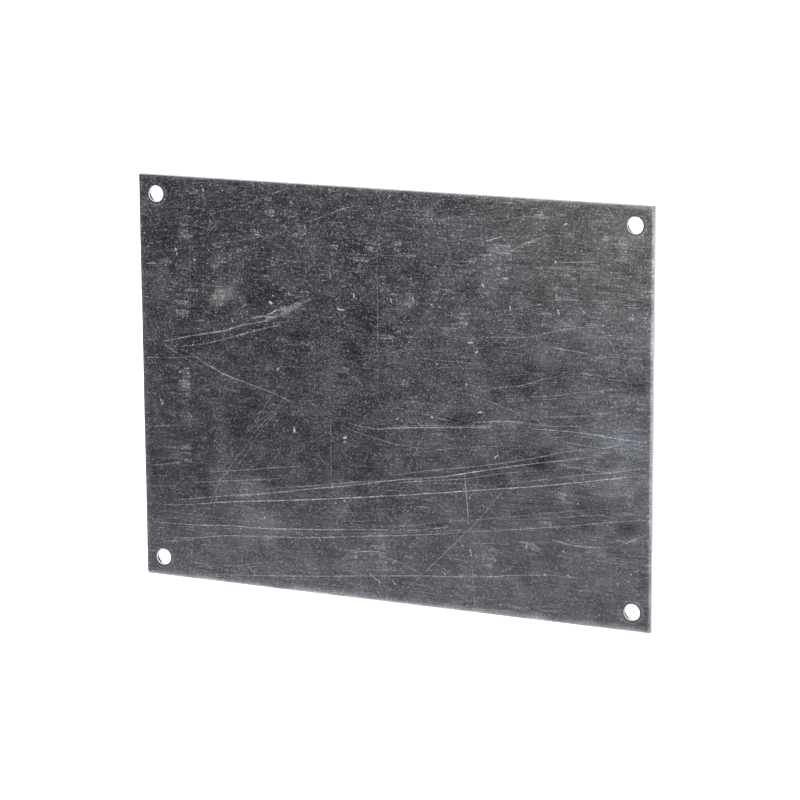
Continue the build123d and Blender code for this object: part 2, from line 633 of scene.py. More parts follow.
@dataclass(frozen=True)
class CutSection:
    """Section of a sheared side or a punched wall, from the blade's face to the far one."""

    roll_width: float
    roll_depth: float
    fracture_depth: float
    fracture_setback: float
    curve_steps: int = 8
    land_steps: int = 3

    def rings(self, thickness: float, blade: Blade) -> np.ndarray:
        """Setback into the metal, depth under the front face and torn share of each ring.

        With a from 0 to 90 degrees, the rolled corner is a quarter ellipse: setback is
        width * (1 - sin a) and depth is depth * (1 - cos a). The land is straight at
        setback 0, and the torn part leans back in a straight line to the far face.

        Args:
            thickness: Thickness of the sheet.
            blade: Face that the blade entered.

        Returns:
            Rows of setback, depth and torn share, from the front face to the back.
        """
        turn = np.linspace(0, np.pi / 2, self.curve_steps)
        roll = np.stack([self.roll_width * (1 - np.sin(turn)), self.roll_depth * (1 - np.cos(turn))], 1)
        land_end = thickness - self.fracture_depth
        land = np.linspace(self.roll_depth, land_end, self.land_steps + 2)[1:-1]
        land = np.stack([np.zeros_like(land), land], 1)
        share = np.linspace(0, 1, self.curve_steps)
        lean = np.stack([self.fracture_setback * share, land_end + self.fracture_depth * share], 1)
        torn = np.concatenate([np.zeros(len(roll) + len(land)), np.where(share > 0, 1.0, 0.0)])
        rings = np.column_stack([np.concatenate([roll, land, lean]), torn])
        if blade is Blade.BACK:
            rings = rings[::-1] * (1, -1, 1) + (0, thickness, 0)
        return rings


@dataclass(frozen=True)
class Sector:
    """Part of a hole's wall: the heading of its middle, its half width and how sharply it ends.

    The first two are in degrees, and headings count from +X towards +Y.
    """

    heading: float
    spread: float
    power: int

    def share(self, away: np.ndarray) -> np.ndarray:
        """Strength in each direction: exp(-(d / spread) to the power) at d degrees from the heading."""
        aside = np.degrees(np.arctan2(away[:, 1], away[:, 0])) % 360 - self.heading
        return np.exp(-((aside / self.spread) ** self.power))


@dataclass(frozen=True)
class RimBand:
    """Band beside a rim that changes the zinc's tone: lighter bands of rubbed zinc with a
    painted highlight, and darker ones of painted shade.

    It has a reach and a strength, a lean that says how much more of both it has at the
    upper or right end, and the strength of the wide faint band beyond.
    """

    reach: float
    strength: float
    lean: float = 0.0
    beyond: float = 0.0


@dataclass
class Sheet:
    """The plate's whole closed surface: two faces, four sheared sides, four punched holes."""

    low: Vector
    high: Vector
    hole_centres: np.ndarray
    hole_radius: float
    corner_radius: float = 0.4 * MM
    least_radius: float = 0.3 * MM
    skin_depth: float = 0.02 * MM
    sheared: CutSection = CutSection(1.2 * MM, 0.35 * MM, 0.9 * MM, 0.12 * MM)
    punched: CutSection = CutSection(0.2 * MM, 0.12 * MM, 1.1 * MM, 0.12 * MM)
    tear_start: float = 0.5 * MM
    tear_rise: float = 0.15 * MM
    # Sector of the holes' walls whose torn part is darkened with painted shade, and the torn share elsewhere
    tear_shade_sector: Sector = Sector(213.0, 30.0, 4)
    tear_least: float = 0.1
    # Sector of the holes' walls whose land gets a painted highlight
    wall_highlight_sector: Sector = Sector(226.0, 38.0, 2)
    # Share of the torn look that the sides have, and reach of the blend at their ends
    side_tear: float = 0.1
    blend_reach: float = 3.0 * MM
    # Shares of the rolled corners' depths that the zinc is drawn round
    zinc_on_rim: float = 0.8
    zinc_on_side: float = 0.7
    # Lighter bands along the sides: rubbed zinc, and a painted highlight where the rolled corners catch the
    # light
    side_rub_and_highlight: Mapping[Side, RimBand] = field(
        default_factory=lambda: {
            Side.LEFT: RimBand(2.4 * MM, 0.3, beyond=0.085),
            Side.RIGHT: RimBand(2.2 * MM, 0.4, 0.35, beyond=0.03),
            Side.LOWER: RimBand(2.1 * MM, 1.2, beyond=0.18),
            Side.UPPER: RimBand(2.0 * MM, 0.58, 0.22, beyond=0.05),
        }
    )
    side_band_patches: Patches = Patches(0.8, 0.35, (0.083, 0.031, 0.012), (1.0, 2.0, 3.0))
    band: float = 3.0 * MM
    band_patches: Patches = Patches(0.9, 0.5, (0.061, 0.019), (4.0, 1.0))
    # Round the holes: a lighter ring of rubbed zinc with a painted highlight of the rolled rim, and a darker
    # ring close to the rim, painted shade
    rim_rub_and_highlight: RimBand = RimBand(1.6 * MM, 0.22)
    rim_rub_and_highlight_facing: Facing = Facing(0.6, 0.4, (0.8, -0.6))
    rim_shade: RimBand = RimBand(0.4 * MM, 0.2)
    rim_shade_facing: Facing = Facing(0.3, 0.9, (0.5, -0.87))
    wall_margin: float = 0.1 * MM
    # Largest shift of a rolled corner, how far from the side and the face it reaches, and
    # the lengths of its waves
    ease: float = 0.12 * MM
    ease_reach: float = 1.5 * MM
    ease_depth: float = 0.3 * MM
    ease_waves: tuple[float, ...] = (0.061, 0.023, 0.0097)
    nicks_mm: Mapping[Side, tuple[float, ...]] = field(
        default_factory=lambda: {Side.LOWER: (-55.0, -9.0, 38.0), Side.RIGHT: (-38.5, -26.0, -8.0, 46.5)}
    )
    nick_depth: float = 0.22 * MM
    nick_half_width: float = 0.35 * MM
    corner_cells: int = 18
    cell: float = 2.4 * MM
    patch_rings: int = 9
    crowding: float = 1.4
    skin: RubbedZinc = field(default_factory=RubbedZinc)
    cut: CutSteel = field(default_factory=CutSteel)

    def __post_init__(self) -> None:
        """Works out the lattice that all patches share.

        The corner patches are squares round the holes, whose side is twice the hole's
        distance from the plate's sides. Their cells are small at the plate's corner and
        grow inwards: the place after share u of them is side * (0.15 u + 0.85 u * u).
        """
        self.length = self.high.x - self.low.x
        self.width = self.high.y - self.low.y
        self.top = self.high.z - self.skin_depth
        self.thickness = self.top - self.low.z
        self.patch = 2 * (self.high.x - float(self.hole_centres[:, 0].max()))
        share = np.linspace(0, 1, self.corner_cells + 1)
        self.graded = self.patch * (0.15 * share + 0.85 * share**2)
        self.along_x = self.lattice(self.length, self.nicks_mm[Side.LOWER])
        self.along_y = self.lattice(self.width, self.nicks_mm[Side.RIGHT])
        self.sections = {side: self.sheared.rings(self.thickness, side.blade) for side in Side}
        self.wall = self.punched.rings(self.thickness, Blade.FRONT)

    def lattice(self, size: float, nicks_mm: Sequence[float]) -> np.ndarray:
        """Distances from one side at which the lattice's lines cross a side of that size.

        Round each nick, counted in millimetres from the side's middle, seven lines stand
        0.6 of the nick's half width apart, and even lines too close to one of them go.
        """
        middle = size - 2 * self.patch
        even = np.linspace(0, middle, round(middle / self.cell) + 1)[1:-1] + self.patch
        fine = np.array(nicks_mm)[:, None] * MM + 0.6 * self.nick_half_width * np.arange(-3, 4)
        fine = fine.ravel() + size / 2
        clear = np.abs(even[:, None] - fine[None]).min(axis=1) > 0.5 * self.nick_half_width
        return np.sort(np.concatenate([self.graded, even[clear], fine, (size - self.graded)[::-1]]))

    def inset(self, along: np.ndarray, size: float, first: float, last: float) -> np.ndarray:
        """Draws the lattice's outermost cells in, so that it starts and ends at a setback."""
        side = self.patch
        near = first + along * (side - first) / side
        far = size - last - (size - along) * (side - last) / side
        return np.where(along < side, near, np.where(along > size - side, far, along))

    def laid_out(self, ox: np.ndarray, oy: np.ndarray, ring: int) -> np.ndarray:
        """Places of lattice points on the plate, for one ring of the sheared section.

        A point on a side that lies within the corner's radius r moves onto the corner's
        arc. At distance s from the corner its turn is a = 45 * (1 - s / r) degrees, and it
        lies r * (1 - sin a) along its own side and r * (1 - cos a) in from it.

        Args:
            ox: Distances from the left side.
            oy: Distances from the lower side.
            ring: Number of the section's ring, 0 at the front face and -1 at the back.

        Returns:
            Rows of x and y.
        """
        back = {side: float(rows[ring, 0]) for side, rows in self.sections.items()}
        x = self.inset(ox, self.length, back[Side.LEFT], back[Side.RIGHT])
        y = self.inset(oy, self.width, back[Side.LOWER], back[Side.UPPER])
        ends_x = back[Side.LEFT], self.length - back[Side.RIGHT]
        ends_y = back[Side.LOWER], self.width - back[Side.UPPER]
        r = max(self.corner_radius - 0.5 * (back[Side.LEFT] + back[Side.LOWER]), self.least_radius)
        from_x = np.minimum(x - ends_x[0], ends_x[1] - x)
        from_y = np.minimum(y - ends_y[0], ends_y[1] - y)
        on_flank = (from_x < TINY) & (from_y < r)
        on_foot = (from_y < TINY) & (from_x < r)
        turn = np.radians(45) * (1 - np.where(on_flank, from_y, from_x) / r)
        along, inward = r * (1 - np.sin(turn)), r * (1 - np.cos(turn))
        to_x = np.where(on_flank, inward, np.where(on_foot, along, from_x))
        to_y = np.where(on_flank, along, np.where(on_foot, inward, from_y))
        x = np.where(x < self.length / 2, ends_x[0] + to_x, ends_x[1] - to_x)
        y = np.where(y < self.width / 2, ends_y[0] + to_y, ends_y[1] - to_y)
        return np.stack([x + self.low.x, y + self.low.y], axis=-1)

    def outline(self) -> tuple[np.ndarray, np.ndarray]:
        """Lattice points round the plate, from the lower left corner, to the right first."""
        return round_trip(self.along_x, self.along_y)

    def square(self, corner_x: int, corner_y: int) -> tuple[np.ndarray, np.ndarray]:
        """Lattice points round the square at one corner of the plate, to the right first."""
        n = self.corner_cells
        x = self.along_x[: n + 1] if corner_x < 0 else self.along_x[-n - 1 :]
        y = self.along_y[: n + 1] if corner_y < 0 else self.along_y[-n - 1 :]
        return round_trip(x, y)

    def rim(self, square: np.ndarray, centre: np.ndarray, radius: float) -> np.ndarray:
        """Points of a circle, each on the line from the hole's centre to a square's point."""
        away = square - centre
        return centre + radius * away / np.linalg.norm(away, axis=1, keepdims=True)

    def corner_patch(self, centre: np.ndarray, ring: int) -> np.ndarray:
        """Rings from a hole's rim to the square round it, as an array (rings, points, 2).

        A point is rim + (square - rim) * u to the power 1.4, so that the rings crowd
        round the rim.
        """
        corner = np.sign(centre).astype(int)
        square = self.laid_out(*self.square(*corner), ring)
        rim = self.rim(self.laid_out(*self.square(*corner), 0), centre, self.rim_radius(ring))
        share = np.linspace(0, 1, self.patch_rings)[:, None, None] ** self.crowding
        return rim + (square - rim) * share

    def rim_radius(self, ring: int) -> float:
        """Radius of a hole where its wall meets the front face, ring 0, or the back, ring -1."""
        return self.hole_radius + float(self.wall[ring, 0])

    def face(self, ring: int, z: float) -> list[tuple[np.ndarray, np.ndarray]]:
        """Patches of the front or back face, each as points and quads that face upwards."""
        n = self.corner_cells
        spans = slice(n, -n)
        patches = []
        for cut_x, cut_y in ((spans, slice(None)), (slice(0, n + 1), spans), (slice(-n - 1, None), spans)):
            ox, oy = np.meshgrid(self.along_x[cut_x], self.along_y[cut_y])
            flat = self.laid_out(ox.ravel(), oy.ravel(), ring)
            patches.append((flat, grid_faces(*ox.shape)))
        for centre in self.hole_centres:
            rings = self.corner_patch(centre, ring)
            quads = grid_faces(rings.shape[0], rings.shape[1], closed=True)[:, ::-1]
            patches.append((rings.reshape(-1, 2), quads))
        return [(np.column_stack([flat, np.full(len(flat), z)]), quads) for flat, quads in patches]

    def flank(self) -> tuple[np.ndarray, np.ndarray, np.ndarray]:
        """The sheared sides as rings of the outline from front to back.

        Near a corner whose two sides were cut from different faces, depth and torn share
        go over from one side's to the other's: the neighbour's weight is half of
        (1 - s / 3 mm) squared at distance s from the corner. The blade left these sides
        almost bright, so a tenth of the torn share is enough.

        Returns:
            Points, quads that face outwards, and each point's torn share.
        """
        ox, oy = self.outline()
        n_x, n_y = len(self.along_x) - 1, len(self.along_y) - 1
        order = (Side.LOWER, Side.RIGHT, Side.UPPER, Side.LEFT)
        own = np.repeat(np.arange(4), (n_x, n_y, n_x, n_y))
        step = np.concatenate([np.arange(n) / n for n in (n_x, n_y, n_x, n_y)])
        from_corner = np.minimum(ox, self.length - ox) + np.minimum(oy, self.width - oy)
        from_corner = np.minimum(from_corner, self.blend_reach)
        weight = 0.5 * (1 - from_corner / self.blend_reach) ** 2
        other = (own + np.where(step < 0.5, -1, 1)) % 4
        table = np.stack([self.sections[side] for side in order])
        points, torn = [], []
        for ring in range(table.shape[1]):
            flat = self.laid_out(ox, oy, ring)
            mixed = table[own, ring] * (1 - weight)[:, None] + table[other, ring] * weight[:, None]
            points.append(np.column_stack([flat, self.top - mixed[:, 1]]))
            torn.append(self.side_tear * mixed[:, 2])
        points = np.array(points)
        quads = grid_faces(points.shape[0], points.shape[1], closed=True)[:, ::-1]
        return points.reshape(-1, 3), quads, np.concatenate(torn)

    def bore(self, centre: np.ndarray) -> tuple[np.ndarray, np.ndarray, np.ndarray]:
        """One hole's wall: points, quads that face its axis, and each point's torn share.

        The tear begins at its own depth and is full 0.15 mm further down. Its share is
        largest in a sector at the lower left and falls to 0.1 outside it: painted shade
        where the break-out lies in shadow.
        """
        corner = np.sign(centre).astype(int)
        square = self.laid_out(*self.square(*corner), 0)
        rings = [self.rim(square, centre, self.hole_radius + back) for back in self.wall[:, 0]]
        depth = np.repeat(self.wall[:, 1], len(square))
        points = np.column_stack([np.concatenate(rings), self.top - depth])
        quads = grid_faces(len(rings), len(square), closed=True)
        share = self.tear_least + (1 - self.tear_least) * self.tear_shade_sector.share(square - centre)
        torn = np.clip((self.wall[:, 1] - self.tear_start) / self.tear_rise, 0, 1)
        return points, quads, np.outer(torn, share).ravel()

    def unevenness(self, points: np.ndarray) -> np.ndarray:
        """Moves the rolled corners of the sheared sides in and out a little along the side.

        The shift is inwards, up to 0.12 mm, and fades out over 1.5 mm from the side and
        towards the land, where the plate keeps its full size. A nick adds its depth times
        exp(-d * d) at distance d, in half widths, from its place on the front arris.

        Args:
            points: Places of all the plate's points.

        Returns:
            The places after the shift.
        """
        x, y, z = points.T
        moved = points.copy()
        near_front = np.clip(1 - (self.top - z) / self.ease_depth, 0, 1)
        near_back = np.clip(1 - (z - self.low.z) / self.ease_depth, 0, 1)
        for phase, side in enumerate(Side):
            run = y if side.outward[0] else x
            fade = np.clip(1 - self.from_side(points, side) / self.ease_reach, 0, 1)
            wave = 0.5 + 0.5 * ripple(run, self.ease_waves, (phase, 1.0 + phase, 2.0))
            shift = self.ease * wave * np.maximum(near_front, near_back)
            for nick in self.nicks_mm.get(side, ()):
                aside = (run - nick * MM) / self.nick_half_width
                shift += self.nick_depth * np.exp(-(aside**2)) * near_front
            moved[:, :2] -= side.outward * (shift * fade)[:, None]
        return moved

    def from_side(self, points: np.ndarray, side: Side) -> np.ndarray:
        """Distance of each point from the plane of a side's land."""
        half = np.array([self.length, self.width]) / 2
        return float(half @ np.abs(side.outward)) - points[:, :2] @ side.outward

    def rubbed(self, points: np.ndarray) -> np.ndarray:
        """How much rubbing and painted light lift or lower each point, by the sides and the holes' rims.

        Beside a side it is strength * (1 - distance / reach) cubed, with more of both
        towards the upper or right end, plus a band that stays level over half its width and
        fades out over the rest: rubbed zinc with a painted highlight. Round a hole it is
        strength * sin(180 * d) for d from 0 at the rim to 1 at its reach, and strongest towards
        the lower right: rubbed zinc with a painted highlight. Close to the rim the roll is
        darker by strength * exp(-(distance / reach) squared), most at its foot: painted shade.
        """
        rubbed_and_painted_light = np.zeros(len(points))
        for side, side_rub_and_highlight in self.side_rub_and_highlight.items():
            # Lighter bands along the sides: rubbed zinc with a painted highlight
            run = points[:, 1] if side.outward[0] else points[:, 0]
            leaning = 1 + side_rub_and_highlight.lean * run / np.abs(run).max()
            fade = np.clip(1 - self.from_side(points, side) / (side_rub_and_highlight.reach * leaning**0.5), 0, 1)
            close = side_rub_and_highlight.strength * leaning * fade**3 * self.side_band_patches.along(run)
            level = np.clip(2 - 2 * self.from_side(points, side) / self.band, 0, 1)
            level = level**2 * (3 - 2 * level) * self.band_patches.along(run)
            rubbed_and_painted_light = np.maximum(rubbed_and_painted_light, close + side_rub_and_highlight.beyond * level)
        for centre in self.hole_centres:
            away = points[:, :2] - centre
            reach = np.linalg.norm(away, axis=1)
            gap = np.maximum(reach - self.hole_radius - self.punched.roll_width, 0)
            heading = away / np.maximum(reach, TINY)[:, None]
            # A lighter ring of rubbed zinc with a painted highlight, and painted shade close to the rim
            light = self.rim_rub_and_highlight.strength * np.sin(np.pi * np.clip(gap / self.rim_rub_and_highlight.reach, 0, 1))
            shade = self.rim_shade.strength * np.exp(-((gap / self.rim_shade.reach) ** 2))
            rubbed_and_painted_light = np.maximum(rubbed_and_painted_light, light * self.rim_rub_and_highlight_facing.share(heading))
            rubbed_and_painted_light -= shade * np.clip(self.rim_shade_facing.share(heading), 0, 1)
        return rubbed_and_painted_light * (points[:, 2] > self.low.z + 0.5 * self.thickness)

    def wall_highlight(self, points: np.ndarray) -> np.ndarray:
        """Painted highlight on the holes' walls, by its sector."""
        glow = np.zeros(len(points))
        for centre in self.hole_centres:
            away = points[:, :2] - centre
            reach = self.hole_radius + self.punched.roll_width + self.wall_margin
            at_wall = np.linalg.norm(away, axis=1) < reach
            glow = np.where(at_wall, self.wall_highlight_sector.share(away), glow)
        return glow

    def build(self) -> bpy.types.Object:
        """Makes the plate's surface, joins its patches and dresses it.

        Returns:
            The plate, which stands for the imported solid.
        """
        shapes = [(p, q, np.zeros(len(p)), SKIN_SLOT) for p, q in self.face(0, self.top)]
        shapes += [(p, q[:, ::-1], np.zeros(len(p)), SKIN_SLOT) for p, q in self.face(-1, self.low.z)]
        shapes.append((*self.flank(), CUT_SLOT))
        shapes += [(*self.bore(centre), CUT_SLOT) for centre in self.hole_centres]
        first = np.cumsum([0] + [len(shape[0]) for shape in shapes])
        points = np.concatenate([shape[0] for shape in shapes])
        quads = np.concatenate([shape[1] + start for shape, start in zip(shapes, first)])
        torn = np.concatenate([shape[2] for shape in shapes])
        kind = np.concatenate([np.full(len(shape[1]), shape[3]) for shape in shapes])
        _, kept, number = np.unique(
            np.round(points / MICRON), axis=0, return_index=True, return_inverse=True
        )
        points, number = points[kept], number.ravel()
        quads = number[quads]
        joined = np.zeros(len(kept))
        np.maximum.at(joined, number, torn)
        plate = mesh_piece("sheet", self.unevenness(points), [quads])
        point_values(plate, "torn_and_shaded", joined)
        point_values(plate, "rubbed_and_painted_light", self.rubbed(points))
        point_values(plate, "wall_highlight", self.wall_highlight(points))
        plate.data.materials.append(self.skin.material())
        plate.data.materials.append(self.cut.material())
        kind = np.where(self.on_the_roll(points[quads].mean(axis=1)), SKIN_SLOT, kind)
        plate.data.polygons.foreach_set("material_index", kind.astype(np.int32))
        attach(plate, BODY)
        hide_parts(NODE)
        return plate

    def on_the_roll(self, middle: np.ndarray) -> np.ndarray:
        """Whether a face's middle lies where the zinc skin is drawn round a rolled corner."""
        depth = self.top - middle[:, 2]
        away = np.linalg.norm(middle[:, None, :2] - self.hole_centres[None], axis=2).min(axis=1)
        at_rim = away < self.hole_radius + self.punched.roll_width
        rolled = at_rim & (depth < self.zinc_on_rim * self.punched.roll_depth)
        for side in Side:
            entered = depth if side.blade is Blade.FRONT else self.thickness - depth
            at_side = self.from_side(middle, side) < self.sheared.roll_width
            rolled |= at_side & (entered < self.zinc_on_side * self.sheared.roll_depth)
        return rolled


# Scratches and nicks


@dataclass(frozen=True)
class Scratch:
    """One scratch through given points, or several strands of it side by side."""

    path_mm: tuple[Point, ...]
    width_mm: float = 0.32
    bare: float = 0.4
    strands: int = 1
    spread_mm: float = 0.0
    shift_mm: float = 0.0
    part: Point = (0.0, 1.0)


@dataclass(frozen=True)
class Rub:
    """A patch of short streaks along X."""

    centre_mm: Point
    half_size_mm: Point
    count: int
    bare: float


@dataclass(frozen=True)
class ScratchProfile:
    """Section of a scratch: a shallow groove between two raised lips, closed below.

    A scratch narrower than the full width is shallower in proportion.
    """

    full_width_mm: float = 0.3
    half_share: float = 0.6
    taper: float = 0.2
    # Waves of the width and the bareness: their lengths in steps, and their swing
    waves: tuple[float, ...] = (13.0, 5.3, 2.9)
    swing: float = 0.2
    across: tuple[float, ...] = (-1.0, -0.5, 0.0, 0.5, 1.0, 0.0)
    height_mm: tuple[float, ...] = (-0.002, 0.006, 0.001, 0.006, -0.002, -0.02)
    bare: tuple[float, ...] = (0.0, 0.8, 1.0, 0.8, 0.0, 0.0)


@dataclass
class Scratches:
    """A set of scratches of one kind, made as one piece of many closed slivers."""

    name: str
    scratches: Sequence[Scratch]
    top: float
    finish: bpy.types.Material
    profile: ScratchProfile = ScratchProfile()
    step_mm: float = 1.5

    def spine(self, scratch: Scratch) -> np.ndarray:
        """Smooth line through a scratch's points, as places in metres.

        Between two points it is the cubic whose slope at each point is half the step
        between that point's neighbours. The line is cut to the scratch's part and moved
        sideways by its shift.
        """
        p = np.array(scratch.path_mm, float) * MM
        ghost = np.concatenate([[2 * p[0] - p[1]], p, [2 * p[-1] - p[-2]]])
        spans = np.linalg.norm(np.diff(p, axis=0), axis=1)
        start, end = spans.sum() * np.array(scratch.part)
        count = max(6, math.ceil((end - start) / (self.step_mm * MM)))
        passed = np.concatenate([[0], np.cumsum(spans)])
        reach = np.interp(np.linspace(start, end, count), passed, range(len(p)))
        span = np.minimum(reach.astype(int), len(p) - 2)
        t = (reach - span)[:, None]
        a, b, c, d = (ghost[span + k] for k in range(4))
        bend = (2 * a - 5 * b + 4 * c - d) * t**2 + (3 * b - a - 3 * c + d) * t**3
        line = 0.5 * (2 * b + (c - a) * t + bend)
        return line + scratch.shift_mm * MM * self.sideways(line)

    def sideways(self, line: np.ndarray) -> np.ndarray:
        """Unit direction to the left of a line at each of its points."""
        along = np.gradient(line, axis=0)
        return np.stack([-along[:, 1], along[:, 0]], axis=1) / np.linalg.norm(along, axis=1, keepdims=True)

    def sliver(self, scratch: Scratch, number: int) -> tuple[np.ndarray, np.ndarray, np.ndarray, np.ndarray]:
        """One closed sliver: the section carried along the spine and drawn to a point.

        Half the width at share u of the way is 0.6 * width * (4 u (1 - u)) ** 0.2, made
        uneven by a slow wave, and the bareness fades towards both ends the same way.

        Args:
            scratch: The scratch.
            number: Its place in the set, which shifts its waves.

        Returns:
            Points, quads, end triangles and the bareness of each point.
        """
        spine = self.spine(scratch)
        side = self.sideways(spine)[1:-1]
        share = np.linspace(0, 1, len(spine))[1:-1]
        taper = (4 * share * (1 - share)) ** self.profile.taper
        run = np.linspace(0, 1, len(share)) * len(share)
        wave = ripple(run, self.profile.waves, (number, 2.0 * number, 0.7 * number))
        half = self.profile.half_share * scratch.width_mm * MM * taper * (1 + self.profile.swing * wave)
        across = np.array(self.profile.across)
        flat = spine[1:-1, None, :] + side[:, None, :] * (half[:, None] * across)[:, :, None]
        depth = min(1.0, scratch.width_mm / self.profile.full_width_mm)
        high = np.array(self.profile.height_mm) * MM * depth
        rise = self.top + np.broadcast_to(high, flat.shape[:2])
        rings = np.concatenate([flat, rise[:, :, None]], axis=2).reshape(-1, 3)
        tips = np.column_stack([spine[[0, -1]], np.full(2, self.top + high[0])])
        points = np.concatenate([rings, tips])
        n, rows = len(across), len(share)
        quads = grid_faces(rows, n, closed=True)[:, ::-1]
        around = np.arange(n)
        beside = (around + 1) % n
        first = np.stack([np.full(n, rows * n), around, beside], axis=1)
        last = np.stack([np.full(n, rows * n + 1), beside + (rows - 1) * n, around + (rows - 1) * n], axis=1)
        strength = scratch.bare * taper * (0.85 + self.profile.swing * wave)
        bare = np.concatenate([(strength[:, None] * np.array(self.profile.bare)).ravel(), [0.0, 0.0]])
        return points, quads, np.concatenate([first, last]), bare

    def build(self) -> bpy.types.Object:
        """Makes all the slivers as one piece with the zinc finish.

        Only the upper faces are shaded smooth. The last two round each section lie in the
        metal, and flat ones there keep the shading of the upper ones level at their rims.
        """
        parts = [self.sliver(scratch, number) for number, scratch in enumerate(self.scratches)]
        first = np.cumsum([0] + [len(part[0]) for part in parts])
        quads = np.concatenate([part[1] + start for part, start in zip(parts, first)])
        ends = np.concatenate([part[2] + start for part, start in zip(parts, first)])
        around = len(self.profile.across)
        upper = np.arange(len(quads) + len(ends)) % around < around - 2
        piece = mesh_piece(self.name, np.concatenate([part[0] for part in parts]), [quads, ends], upper)
        point_values(piece, "bare", np.concatenate([part[3] for part in parts]))
        piece.data.materials.append(self.finish)
        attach(piece, BODY)
        return piece


